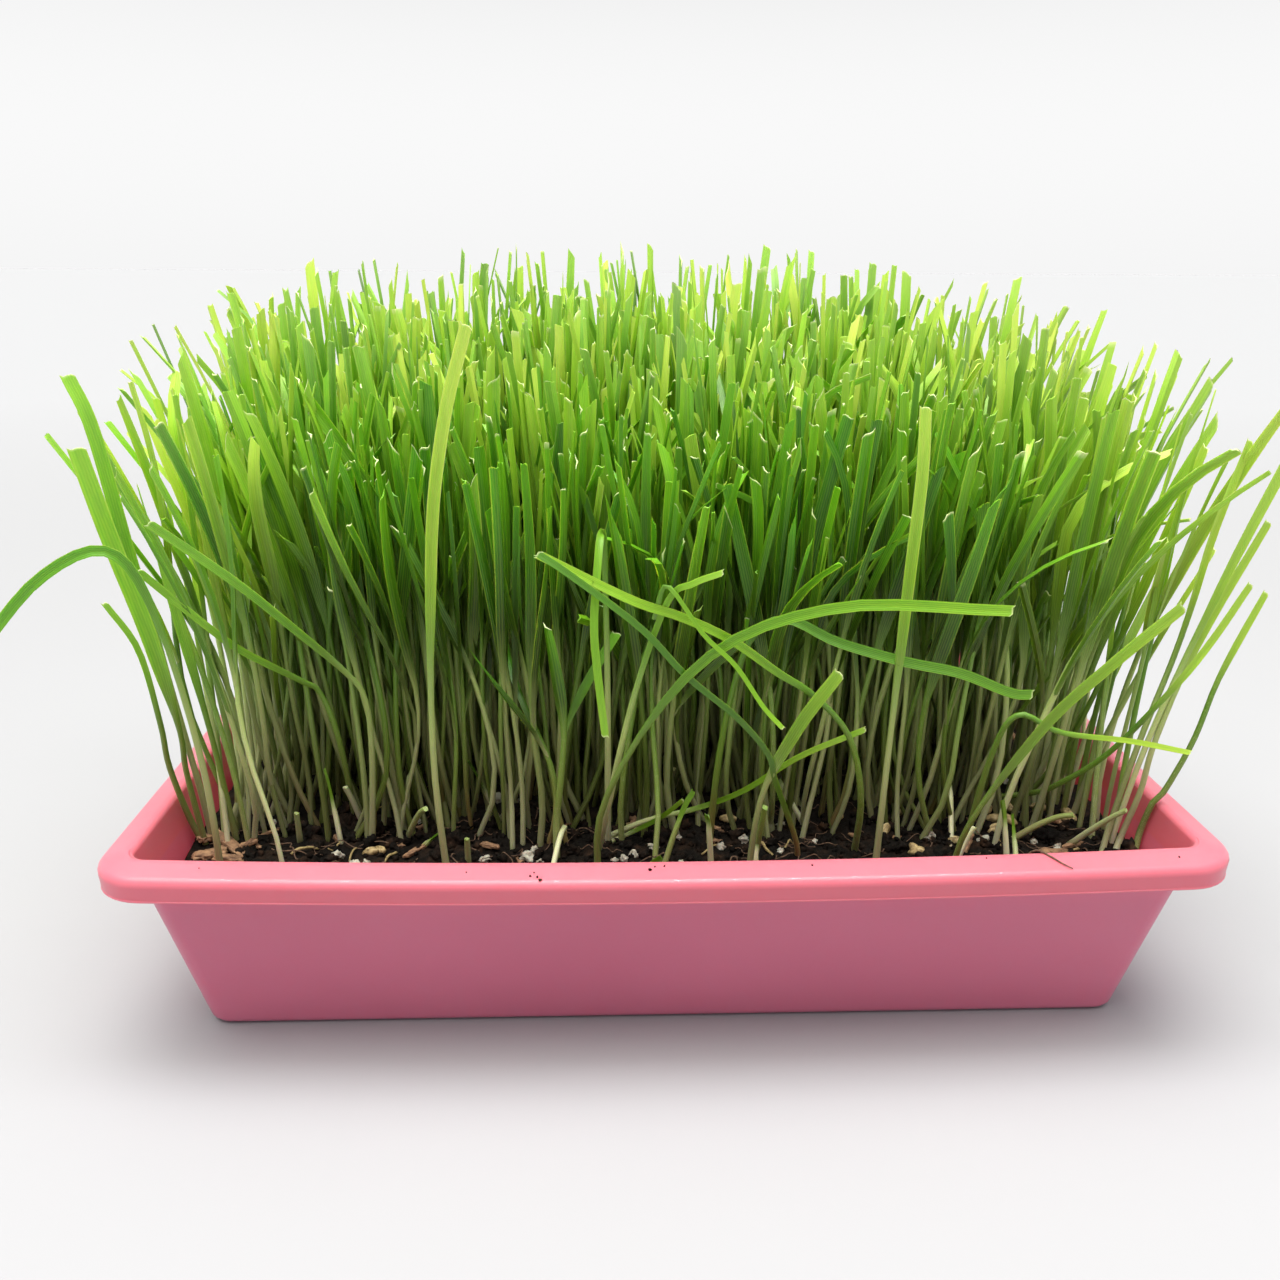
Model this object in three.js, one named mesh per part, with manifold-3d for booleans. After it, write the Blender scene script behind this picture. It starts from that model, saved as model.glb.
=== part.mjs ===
// Wheatgrass growing in a rectangular planter tray.
// Millimetres, +Z up. The origin is the centre of the tray's flat base. The tray's long side runs along X.
import * as THREE from 'three';
import { mergeVertices } from 'three/addons/utils/BufferGeometryUtils.js';
import Module from 'manifold-3d';

const wasm = await Module();
wasm.setup();

// ---------------------------------------------------------------- driving dimensions

const TRAY_LENGTH = 340; // over the rim, along X
const TRAY_WIDTH = 220; // over the rim's corners, along Y
const TRAY_HEIGHT = 66.5;
const BULGE = 6.2; // how far the soil has pushed the middle of each long rim outwards
const RIM_RADIUS = 16; // plan radius of the rim's outer corners
const INNER_RADIUS = 5; // plan radius of the corners inside
const LIP_DROP = 9.3; // height of the rim's outer skirt
const SKIN = 2.1; // plastic thickness
const BASE_INSET = 23.3; // from the rim's outline in to the base's outline
const DRAFT = 0.216; // how far the wall leans out for each millimetre up
const FLOOR = 2.5; // thickness of the tray's floor
const FLOOR_CORNER = FLOOR + 3; // where the inside wall turns in to the floor
const MOUTH = TRAY_HEIGHT - 3.4; // where the flange turns down to the inside wall
const CORNER_STEPS = 4; // straight steps in each rounded corner
const SIDE_STEPS = 6; // straight steps along each bulging side

const SOIL_TOP = 51;
const SOIL_GAP = 0.4; // air between the soil and the plastic, and between a root and its hole

const STAND_LENGTH = 304; // ground that the grass covers, along X
const STAND_WIDTH = 165;
const STAND_MIDDLE = 4.5; // the stand's middle lies a little behind the tray's, so soil shows along the front
const ROW_COLUMNS = [7, 6, 7, 6, 7]; // clumps in each row, front to back
const CELL_Y = STAND_WIDTH / ROW_COLUMNS.length; // room for one clump
const BLADE_GROUND = 130; // square millimetres of ground for each blade
const CROWN_SHARE = [0.425, 0.47]; // half-size of a root crown, as a share of its cell
const CROWN_TOP = SOIL_TOP - 1.5;
const CROWN_DEPTH = 9;
const ROOT_SHARE = 0.75; // how far out over its crown a stem can leave it
const CELL_MARGIN = 3.1; // half a leaf and the air beside it
const STEM_WIDTH = 2.4;
const STEM_THICKNESS = 1.7;
const LEAF_WIDTH = 4.9;
const LEAF_THICKNESS = 0.8;

const ROOT_DEPTH = 5; // how far a stem runs down into its crown, from the top of the soil
const GOLDEN_ANGLE = 2.39996; // turns each stem away from the last one round its clump
const UP = new THREE.Vector3(0, 0, 1);

const GRASS_SEED = 1207;
const PERLITE_SEED = 88;
const GRAINS = 18;

// ---------------------------------------------------------------- helpers

// A repeatable stream of numbers from 0 to 1.
function drawsFrom(seed) {
  let state = seed;
  return () => {
    state = (state * 16807) % 2147483647;
    return state / 2147483647;
  };
}

function solidFrom(positions, triangles) {
  const geometry = new THREE.BufferGeometry();
  geometry.setAttribute('position', new THREE.Float32BufferAttribute(positions, 3));
  geometry.setIndex(triangles);
  return solidOf(geometry);
}

// A closed three.js geometry as a manifold-3d solid.
function solidOf(geometry) {
  const bare = geometry.clone();
  bare.deleteAttribute('normal');
  bare.deleteAttribute('uv');
  const merged = mergeVertices(bare, 1e-4);
  const mesh = new wasm.Mesh({
    numProp: 3,
    vertProperties: merged.attributes.position.array,
    triVerts: new Uint32Array(merged.index.array),
  });
  return new wasm.Manifold(mesh);
}

function meshOf(name, solid, material) {
  const mesh = solid.getMesh();
  const positions = new Float32Array(mesh.numVert * 3);
  for (let i = 0; i < mesh.numVert; i++) {
    positions.set(mesh.vertProperties.subarray(i * mesh.numProp, i * mesh.numProp + 3), i * 3);
  }
  const geometry = new THREE.BufferGeometry();
  geometry.setAttribute('position', new THREE.BufferAttribute(positions, 3));
  geometry.setIndex(new THREE.BufferAttribute(mesh.triVerts, 1));
  const flat = geometry.toNonIndexed();
  flat.computeVertexNormals();
  const made = new THREE.Mesh(flat, material);
  made.name = name;
  return made;
}

// A skin through loops of equally many points, closed by a flat face at each end. The four-sided faces
// between two loops are split along one diagonal, or along the other one where fromSecond is true.
function loft(loops, fromSecond = false) {
  const count = loops[0].length;
  const triangles = [];
  for (let i = 1; i < count - 1; i++) {
    const last = (loops.length - 1) * count;
    triangles.push(0, i + 1, i, last, last + i, last + i + 1);
  }
  for (let ring = 0; ring < loops.length - 1; ring++) {
    for (let i = 0; i < count; i++) {
      const next = (i + 1) % count;
      const a = ring * count + i;
      const b = ring * count + next;
      if (fromSecond) triangles.push(a, b, a + count, b, b + count, a + count);
      else triangles.push(a, b, b + count, a, b + count, a + count);
    }
  }
  return solidFrom(loops.flat(2), triangles);
}

// ---------------------------------------------------------------- tray

// A rounded rectangle at height z, drawn in from the rim's outline by inset. Its long sides bulge.
function trayLoop(inset, z, tightest = INNER_RADIUS) {
  const radius = Math.max(RIM_RADIUS - inset, tightest);
  const x = TRAY_LENGTH / 2 - inset - radius;
  const y = TRAY_WIDTH / 2 - inset - radius;
  const corners = [[x, y], [-x, y], [-x, -y], [x, -y]];
  const points = corners.flatMap(([cx, cy], quarter) => {
    const arc = Array.from({ length: CORNER_STEPS + 1 }, (_, i) => {
      const angle = (quarter + i / CORNER_STEPS) * (Math.PI / 2);
      return [cx + radius * Math.cos(angle), cy + radius * Math.sin(angle)];
    });
    const alongSide = quarter % 2 === 0 ? SIDE_STEPS - 1 : 0;
    const side = Array.from({ length: alongSide }, (_, i) => {
      const share = (i + 1) / SIDE_STEPS;
      return [cx * (1 - 2 * share), cy + radius * Math.sign(cy)];
    });
    return [...arc, ...side];
  });
  return points.map(([px, py]) => [px, py + bulgeAt(px, z) * Math.sign(py), z]);
}

function bulgeAt(x, z) {
  return BULGE * (z / TRAY_HEIGHT) * Math.max(1 - (x / (TRAY_LENGTH / 2)) ** 2, 0);
}

const outsideInset = (z) => BASE_INSET - DRAFT * z;
const insideInset = (z) => outsideInset(z) + SKIN;
const outsideLoop = (inset, z) => trayLoop(inset, z, INNER_RADIUS + SKIN);

// One moulding: tapered box, flat flange round its mouth, and a skirt that turns down from the flange.
function traySolid() {
  const underFlange = TRAY_HEIGHT - SKIN;
  const skirtFoot = TRAY_HEIGHT - LIP_DROP;
  return loft([
    outsideLoop(BASE_INSET + 3, 0),
    outsideLoop(BASE_INSET + 0.9, 0.8),
    outsideLoop(outsideInset(3.5), 3.5),
    outsideLoop(outsideInset(underFlange), underFlange),
    trayLoop(SKIN + 0.3, underFlange),
    trayLoop(SKIN, skirtFoot),
    trayLoop(0.4, skirtFoot),
    trayLoop(0, skirtFoot + 0.6),
    trayLoop(0.3, TRAY_HEIGHT - 4.2),
    trayLoop(1.4, TRAY_HEIGHT - 1.5),
    trayLoop(3.4, TRAY_HEIGHT - 0.2),
    trayLoop(5.5, TRAY_HEIGHT),
    trayLoop(8.8, TRAY_HEIGHT - 0.3),
    trayLoop(10.9, TRAY_HEIGHT - 1.2),
    trayLoop(insideInset(MOUTH), MOUTH),
    trayLoop(insideInset(FLOOR_CORNER), FLOOR_CORNER),
    trayLoop(insideInset(FLOOR_CORNER) + 3, FLOOR),
  ]);
}

// ---------------------------------------------------------------- grass

// Where a point stands in the stand: -1 to 1 from left to right, and 0 to 1 from front to back.
function placeIn(x, y) {
  const across = x / (STAND_LENGTH / 2);
  const back = THREE.MathUtils.clamp((y - STAND_MIDDLE) / STAND_WIDTH + 0.5, 0, 1);
  return [across, back];
}

// How far a blade leans out at its tip: little in the middle of the tray, most at its ends and its front.
function leanAt(x, y) {
  const u = x / (STAND_LENGTH / 2);
  const v = (y - STAND_MIDDLE) / (STAND_WIDTH / 2);
  const outX = 7 * u + (u < 0 ? 17 : 23) * u ** 3 * Math.abs(u);
  const outY = 4 * v + (v > 0 ? 10 : 17) * v ** 3;
  return [outX, outY];
}

// Length of the cut blades above the soil: short along the front, tall along the back.
function cutHeight(x, y) {
  const [across, back] = placeIn(x, y);
  const left = Math.max(-across, 0);
  const right = Math.max(across, 0);
  const frontHeight = 116 + 22 * across * across;
  const backHeight = 182 - 14 * left * left - 24 * right ** 3;
  return THREE.MathUtils.lerp(frontHeight, backHeight, back ** 0.9);
}

const heading = (turn) => new THREE.Vector3(Math.cos(turn), Math.sin(turn), 0);

// Four corners round a point of a blade that runs in the direction run. Its width lies along sideways.
function ringAt(centre, run, sideways, width, thickness, slant = 0) {
  const across = sideways.clone().addScaledVector(run, -sideways.dot(run)).normalize();
  const through = new THREE.Vector3().crossVectors(run, across);
  const corners = [[1, -1], [1, 1], [-1, 1], [-1, -1]];
  return corners.map(([side, face]) =>
    centre.clone()
      .addScaledVector(across, (side * width) / 2)
      .addScaledVector(through, (face * thickness) / 2)
      .addScaledVector(run, side * slant)
      .toArray(),
  );
}

// A thin blade through rings of four corners. Its two broad faces are split along the same diagonals.
function bladeSolid(rings) {
  const last = (rings.length - 1) * 4;
  const triangles = [0, 2, 1, 0, 3, 2, last, last + 1, last + 2, last, last + 2, last + 3];
  for (let ring = 0; ring < last; ring += 4) {
    for (let i = 0; i < 4; i++) {
      const a = ring + i;
      const b = ring + ((i + 1) % 4);
      if (i === 1) triangles.push(a, b, a + 4, b, b + 4, a + 4);
      else triangles.push(a, b, b + 4, a, b + 4, a + 4);
    }
  }
  return solidFrom(rings.flat(2), triangles);
}

// A blade of a clump: a slim straight stem from the crown, then a flat leaf up to its cut end.
function clumpBlade(clump, phase, index, draw) {
  const angle = phase + index * GOLDEN_ANGLE + draw() * 0.35;
  const reach = Math.sqrt((index + 0.35 + 0.3 * draw()) / clump.blades);
  const along = [Math.cos(angle), Math.sin(angle)];
  const fill = reach / Math.max(Math.abs(along[0]), Math.abs(along[1])) ** 0.7;
  const root = along.map((c, i) => c * reach * clump.crown[i] * ROOT_SHARE);
  const top = along.map((c, i) => THREE.MathUtils.clamp(c * fill, -1, 1) * (clump.cell[i] / 2 - CELL_MARGIN));
  const middle = clump.middle;
  const height = cutHeight(middle[0] + top[0], middle[1] + top[1]) + (draw() - 0.5) * 22;
  const leafStart = 0.36 + 0.12 * draw();
  const turn = draw() * Math.PI;
  const twist = (draw() - 0.5) * 1.2;
  const width = LEAF_WIDTH + (draw() - 0.5) * 1.2;
  const slant = (draw() - 0.5) * 2;

  const pointAt = (t) => {
    const spread = Math.max(t, 0) ** 1.3;
    const x = middle[0] + root[0] + (top[0] - root[0]) * spread;
    const y = middle[1] + root[1] + (top[1] - root[1]) * spread;
    const [outX, outY] = leanAt(x, y);
    const out = Math.max(t, 0) ** 1.7;
    return new THREE.Vector3(x + outX * out, y + outY * out, SOIL_TOP + height * t);
  };
  const runAt = (t) => pointAt(t + 0.02).sub(pointAt(t - 0.02)).normalize();
  const stemRing = (t) => ringAt(pointAt(t), UP, heading(turn), STEM_WIDTH, STEM_THICKNESS);
  const leafRing = (t, turnBy, w, tilt) =>
    ringAt(pointAt(t), runAt(t), heading(turn + turnBy), w, LEAF_THICKNESS, tilt);

  return bladeSolid([
    stemRing(-ROOT_DEPTH / height),
    stemRing(leafStart),
    leafRing(leafStart + 0.22, twist * 0.5, width),
    leafRing(1, twist, width * 0.92, slant),
  ]);
}

// An upright eight-sided block.
function block(x, y, halfX, halfY, low, high) {
  const geometry = new THREE.CylinderGeometry(1, 1, high - low, 8);
  geometry.rotateX(Math.PI / 2);
  geometry.rotateZ(Math.PI / 8);
  geometry.scale(halfX, halfY, 1);
  geometry.translate(x, y, (low + high) / 2);
  return solidOf(geometry);
}

// The clumps' places, in rows of seven and of six so that the gaps between them don't line up.
function clumpPlan() {
  return ROW_COLUMNS.flatMap((columns, row) =>
    Array.from({ length: columns }, (_, column) => {
      const cell = [STAND_LENGTH / columns, CELL_Y];
      const x = (column - (columns - 1) / 2) * cell[0];
      const y = STAND_MIDDLE + (row - (ROW_COLUMNS.length - 1) / 2) * CELL_Y;
      return {
        middle: [x, y],
        cell,
        crown: cell.map((size, i) => size * CROWN_SHARE[i]),
        blades: Math.round((cell[0] * cell[1]) / BLADE_GROUND),
      };
    }),
  );
}

function clumpSolid(clump, draw) {
  const crown = block(...clump.middle, ...clump.crown, CROWN_TOP - CROWN_DEPTH, CROWN_TOP);
  const phase = draw() * Math.PI * 2;
  const blades = Array.from({ length: clump.blades }, (_, index) => clumpBlade(clump, phase, index, draw));
  return wasm.Manifold.union([crown, ...blades]);
}

// ---------------------------------------------------------------- leaning blades

// Blades that have flopped out of the stand. Each has the points that it passes, from its root in the soil to
// its tip, the share of its length that is stem, and its width. A leaf turns its broad side to the front.
const LEANING = [
  {
    points: [[-22, -86, 42], [-20, -89, 78], [6, -104, 126], [42, -110, 144], [96, -110, 142]],
    stem: 0.3,
    width: 4.6,
  },
  {
    points: [[-68, -86, 42], [-71, -88, 93], [-67, -101, 158], [-61, -112, 193], [-54, -114, 218]],
    stem: 0.4,
    width: 5.2,
  },
  {
    points: [[64, -86, 42], [65, -89, 88], [64, -102, 148], [63, -111, 180], [62, -113, 198]],
    stem: 0.4,
    width: 4.6,
  },
  {
    points: [[24, -86, 42], [27, -90, 78], [36, -97, 104], [46, -103, 123]],
    stem: 0.5,
    width: 5,
  },
  {
    points: [
      [-138, -84, 42], [-139, -88, 88], [-142, -104, 138],
      [-150, -110, 157], [-168, -112, 151], [-188, -113, 129],
    ],
    stem: 0.5,
    width: 4.4,
  },
  {
    points: [[88, -86, 42], [91, -90, 68], [107, -99, 104], [122, -106, 126], [138, -110, 144]],
    stem: 0.3,
    width: 5,
  },
];
const LEAF_FACE = new THREE.Vector3(0, -1, 0.2); // the way that the broad side of a leaning leaf turns
const HOLE_RADIUS = 3;
const LEANING_STEPS = 8;

function leaningSolid({ points, stem, width }) {
  const passed = points.map((point) => new THREE.Vector3(...point));
  const curve = new THREE.CatmullRomCurve3(passed, false, 'catmullrom', 0.5);
  const rings = [];
  for (let i = 0; i <= LEANING_STEPS; i++) {
    const t = i / LEANING_STEPS;
    const leaf = THREE.MathUtils.smoothstep(t, stem, stem + 0.25);
    const w = THREE.MathUtils.lerp(STEM_WIDTH, width, leaf);
    const thickness = THREE.MathUtils.lerp(STEM_THICKNESS, LEAF_THICKNESS, leaf);
    const run = curve.getTangent(t);
    const across = new THREE.Vector3().crossVectors(LEAF_FACE, run);
    rings.push(ringAt(curve.getPoint(t), run, across, w, thickness));
  }
  return bladeSolid(rings);
}

// ---------------------------------------------------------------- soil

// The top of the soil is lumpy, and a little higher in the middle than along the plastic.
function soilHeight(x, y) {
  const mound = 1.5 * (1 - (x / 160) ** 2) * (1 - (y / 100) ** 2);
  const lumps = 1.1 * Math.sin(x / 9 + y / 21) * Math.cos(y / 13) + 0.4 * Math.sin(x / 5.3);
  return SOIL_TOP + mound + lumps - 0.8;
}

// A slab with a lumpy top, wider than the tray's mouth.
function lumpySlab() {
  const stepsX = 12;
  const stepsY = 8;
  const halfX = 165;
  const halfY = 105;
  const low = -5;
  const index = (i, j) => j * (stepsX + 1) + i;
  const under = (stepsX + 1) * (stepsY + 1);
  const positions = [];
  for (const top of [true, false]) {
    for (let j = 0; j <= stepsY; j++) {
      for (let i = 0; i <= stepsX; i++) {
        const x = (i / stepsX - 0.5) * 2 * halfX;
        const y = (j / stepsY - 0.5) * 2 * halfY;
        positions.push(x, y, top ? soilHeight(x, y) : low);
      }
    }
  }
  const triangles = [];
  const quad = (a, b, c, d) => triangles.push(a, b, c, a, c, d);
  for (let j = 0; j < stepsY; j++) {
    for (let i = 0; i < stepsX; i++) {
      const [a, b, c, d] = [index(i, j), index(i + 1, j), index(i + 1, j + 1), index(i, j + 1)];
      quad(a, b, c, d);
      quad(d + under, c + under, b + under, a + under);
    }
  }
  for (let i = 0; i < stepsX; i++) {
    quad(index(i, 0) + under, index(i + 1, 0) + under, index(i + 1, 0), index(i, 0));
    quad(index(i + 1, stepsY) + under, index(i, stepsY) + under, index(i, stepsY), index(i + 1, stepsY));
  }
  for (let j = 0; j < stepsY; j++) {
    quad(index(0, j + 1) + under, index(0, j) + under, index(0, j), index(0, j + 1));
    quad(index(stepsX, j) + under, index(stepsX, j + 1) + under, index(stepsX, j + 1), index(stepsX, j));
  }
  return solidFrom(positions, triangles);
}

// Perlite grains half sunk in the soil, most of them along the front.
function perliteGrains() {
  const draw = drawsFrom(PERLITE_SEED);
  return Array.from({ length: GRAINS }, (_, index) => {
    const x = (index / (GRAINS - 1) - 0.5) * STAND_LENGTH * 0.94;
    const y = -84 + (index % 3) * 4 + draw() * 3;
    const grain = new THREE.OctahedronGeometry(1.8 + draw());
    grain.rotateX(draw() * 3);
    grain.rotateZ(draw() * 3);
    grain.translate(x, y, soilHeight(x, y) + 0.6);
    return solidOf(grain);
  });
}

// Drops the grains that a hole has cut loose.
function largestPiece(solid) {
  return solid.decompose().reduce((a, b) => (a.volume() > b.volume() ? a : b));
}

function soilSolid() {
  const loops = [
    trayLoop(insideInset(FLOOR_CORNER) + 3 + SOIL_GAP, FLOOR + SOIL_GAP),
    trayLoop(insideInset(FLOOR_CORNER) + SOIL_GAP, FLOOR_CORNER),
    trayLoop(insideInset(MOUTH) + SOIL_GAP, MOUTH),
  ];
  const fill = loft(loops, true); // split like the tray's inside, which runs downwards
  const bed = wasm.Manifold.union([fill.intersect(lumpySlab()), ...perliteGrains()]);
  const holeFoot = CROWN_TOP - CROWN_DEPTH - SOIL_GAP;
  const holes = clumpPlan().map(({ middle, crown }) =>
    block(...middle, crown[0] + SOIL_GAP, crown[1] + SOIL_GAP, holeFoot, SOIL_TOP + 20),
  );
  for (const { points } of LEANING) {
    const [x, y, z] = points[0];
    holes.push(block(x, y, HOLE_RADIUS, HOLE_RADIUS, z - SOIL_GAP, SOIL_TOP + 20));
  }
  return largestPiece(bed.subtract(wasm.Manifold.union(holes)));
}

// ---------------------------------------------------------------- the whole part

const plastic = new THREE.MeshStandardMaterial({ color: 0xe8788a, roughness: 0.4, metalness: 0 });
const earth = new THREE.MeshStandardMaterial({ color: 0x2b221c, roughness: 1, metalness: 0 });
const leaf = new THREE.MeshStandardMaterial({ color: 0x6fae2c, roughness: 0.55, metalness: 0 });
const leaningLeaf = new THREE.MeshStandardMaterial({ color: 0x86bd35, roughness: 0.55, metalness: 0 });

function numbered(stem, index) {
  return `${stem}_${String(index + 1).padStart(2, '0')}`;
}

function wheatgrassTray() {
  const part = new THREE.Group();
  part.add(meshOf('planter_tray', traySolid(), plastic));
  part.add(meshOf('potting_soil', soilSolid(), earth));
  const draw = drawsFrom(GRASS_SEED);
  const stand = new THREE.Group();
  clumpPlan().forEach((clump, index) => {
    stand.add(meshOf(numbered('grass_clump', index), clumpSolid(clump, draw), leaf));
  });
  LEANING.forEach((blade, index) => {
    stand.add(meshOf(numbered('leaning_blade', index), leaningSolid(blade), leaningLeaf));
  });
  part.add(stand);
  return part;
}

export default wheatgrassTray();
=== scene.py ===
import math

import bmesh
import bpy
import numpy as np
from mathutils import Matrix, Vector, noise


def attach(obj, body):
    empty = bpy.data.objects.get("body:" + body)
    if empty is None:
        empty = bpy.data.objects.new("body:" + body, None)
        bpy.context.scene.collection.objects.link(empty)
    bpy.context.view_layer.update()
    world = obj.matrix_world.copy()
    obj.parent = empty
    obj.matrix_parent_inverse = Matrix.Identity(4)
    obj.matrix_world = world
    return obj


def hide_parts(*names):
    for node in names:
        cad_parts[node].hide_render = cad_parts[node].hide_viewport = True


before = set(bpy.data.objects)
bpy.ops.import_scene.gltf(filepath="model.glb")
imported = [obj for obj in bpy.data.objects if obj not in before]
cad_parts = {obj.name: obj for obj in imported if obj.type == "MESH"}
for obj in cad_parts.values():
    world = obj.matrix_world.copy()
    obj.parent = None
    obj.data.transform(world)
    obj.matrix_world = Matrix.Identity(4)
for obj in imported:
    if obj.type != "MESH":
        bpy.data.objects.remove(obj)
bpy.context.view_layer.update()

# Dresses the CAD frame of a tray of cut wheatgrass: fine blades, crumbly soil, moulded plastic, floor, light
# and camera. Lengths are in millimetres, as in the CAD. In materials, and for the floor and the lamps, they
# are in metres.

MM = 0.001

# ---- sizes that the CAD also has

TRAY_LENGTH = 340
TRAY_WIDTH = 220
TRAY_HEIGHT = 66.5
BULGE = 6.2  # how far the long sides stand out at the rim
RIM_RADIUS = 16
INNER_RADIUS = 5
LIP_DROP = 9.3
SKIN = 2.1
BASE_INSET = 23.3  # from the rim's outline in to the wall's foot
DRAFT = 0.216  # how far the wall leans out for each millimetre of height
FLOOR = 2.5

SOIL_TOP = 51
SOIL_GAP = 0.4
FOOT_GAP = 1.7  # more room at the foot, where the tray's inner corner is rounded

STAND_LENGTH = 304
STAND_WIDTH = 165
STAND_MIDDLE = 4.5
ROW_COLUMNS = (7, 6, 7, 6, 7)
CELL_Y = STAND_WIDTH / len(ROW_COLUMNS)
BLADE_GROUND = 130  # square millimetres of ground for each of the CAD's blades
CROWN_SHARE = (0.425, 0.47)  # half-size of a clump's crown, as a share of its cell
ROOT_SHARE = 0.75  # how far out on the crown the roots reach
CELL_MARGIN = 3.1  # half a leaf and the air beside it
ROOT_DEPTH = 5
GOLDEN_ANGLE = 2.39996
GRASS_SEED = 1207
LEAF_WIDTH = 4.9
FRONT_CUT = 116  # length of the blades above the soil at the front's middle
BACK_CUT = 182

# ---- sizes of the finer pieces

STEM_WIDTH = 2.05
STEM_DEPTH = 1.8
LEAF_DEPTH = 0.34
LEAF_SHARE = 0.86  # of the CAD's leaf width
FRONT_SHIFT = 11  # how far the front row's feet stand further back than in the CAD
EXTRA_GROUND = 38  # square millimetres of ground for each stem that the CAD hasn't
SHORT_SHARE = 0.13  # stems cut or grown shorter than the others
NARROW_SHARE = 0.55  # stems with a narrow leaf
POINTED_SHARE = 0.05  # leaves that still have their point
BENT_SHARE = 0.3  # leaves whose end bends over
ASLANT_SHARE = 0.16  # blades cut aslant
GREEN_CUT_SHARE = 0.45  # blades whose cut end is still green
DARK_MOOD = (0.42, 0.25)  # middle and spread of how dark a blade is, from 0 to 1
FOOT_STRAY = (8, 4.5)  # how far a root strays from its place, sideways and to the back or front
SECOND_LEAF_SHARE = 0.62  # stems with a second, narrower leaf, more of them at the front
LOW_LEAF_SHARE = 0.2  # second leaves that end low down and stand further away
WALL_CLEARANCE = 1.5  # between the tray's inner wall and the middle of a stem
RIM_LEAN = 0.8  # how far a blade may lean out for each millimetre that it rises above the rim
SCENE_SEEDS = {"stand": 4451, "fringe": 29, "stubs": 73, "crumbs": 91, "perlite": 17, "bark": 23, "fibres": 5,
               "grains": 61, "specks": 37, "lamps": 11}
SOIL_STEP = 1.3  # between the points of the soil's surface
SIDE_STEPS = 18  # steps along each bulging side of the tray
RIM_FALL = 2.2  # the rim's top falls towards its outer edge
RIM_CREST = 8.4  # inset of the highest line of the rim
EDGE_RADIUS = 2.8  # rounding between the rim's top and its skirt
FLOOR_CORNER = 60  # inset of the corners that close the tray's outline inside its floor
ARC_STEPS = 9  # steps along each rounded corner of the tray


def srgb(red, green, blue):
    """A colour given as 0 to 255 on a screen, as the linear colour that a shader takes."""
    def linear(value):
        value /= 255
        return value / 12.92 if value <= 0.04045 else ((value + 0.055) / 1.055) ** 2.4
    return (linear(red), linear(green), linear(blue), 1)


def smooth(value, low, high):
    """0 below low and 1 above high, with an eased step between them."""
    share = np.clip((value - low) / (high - low), 0, 1)
    return share * share * (3 - 2 * share)


def mix(a, b, share):
    return a + (b - a) * share


def draws_for(what):
    """The seeded draws of one part of the scene."""
    return np.random.default_rng(SCENE_SEEDS[what])


class Draws:
    """The CAD's repeatable stream of numbers from 0 to 1."""

    def __init__(self, seed):
        self.state = seed

    def __call__(self):
        self.state = self.state * 16807 % 2147483647
        return self.state / 2147483647


# ---- materials

class Graph:
    """One material's node tree, built in short lines."""

    def __init__(self, name, **sockets):
        self.material = bpy.data.materials.new(name)
        self.material.use_nodes = True
        self.tree = self.material.node_tree
        self.shader = self.tree.nodes["Principled BSDF"]
        for socket, value in sockets.items():
            self.shade(socket.replace("_", " "), value)

    def shade(self, socket, value):
        self.put(self.shader.inputs[socket], value)

    def put(self, socket, value):
        if isinstance(value, bpy.types.NodeSocket):
            self.tree.links.new(value, socket)
        else:
            socket.default_value = value

    def node(self, kind, inputs, **settings):
        made = self.tree.nodes.new("ShaderNode" + kind)
        for name, value in settings.items():
            setattr(made, name, value)
        for socket, value in inputs.items():
            self.put(made.inputs[socket], value)
        return made

    def attribute(self, name):
        return self.node("Attribute", {}, attribute_name=name).outputs["Fac"]

    def place(self):
        return self.node("TexCoord", {}).outputs["Object"]

    def noise(self, scale, detail=3, vector=None):
        inputs = {"Vector": vector or self.place(), "Scale": scale, "Detail": detail, "Roughness": 0.55}
        return self.node("TexNoise", inputs).outputs["Fac"]

    def ramp(self, factor, stops):
        made = self.node("ValToRGB", {"Fac": factor})
        elements = made.color_ramp.elements
        while len(elements) < len(stops):
            elements.new(0.5)
        for element, (position, colour) in zip(elements, stops):
            element.position = position
            element.color = colour
        return made.outputs["Color"]

    def mixed(self, factor, a, b, blend="MIX"):
        inputs = {"Factor": factor, 6: a, 7: b}
        return self.node("Mix", inputs, data_type="RGBA", blend_type=blend).outputs[2]

    def maths(self, operation, a, b=0.0):
        return self.node("Math", {0: a, 1: b}, operation=operation).outputs[0]

    def times(self, a, b):
        return self.maths("MULTIPLY", a, b)

    def mapped(self, value, low, high, to_low=0, to_high=1):
        inputs = {"Value": value, "From Min": low, "From Max": high, "To Min": to_low, "To Max": to_high}
        return self.node("MapRange", inputs).outputs["Result"]

    def bump(self, height, strength, distance):
        inputs = {"Height": height, "Strength": strength, "Distance": distance}
        self.shade("Normal", self.node("Bump", inputs).outputs["Normal"])


# What a blade's material reads at each point of its mesh.
BLADE_FACTS = ("rise", "share", "across", "mood", "leafy", "cut", "deep", "front")

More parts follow.
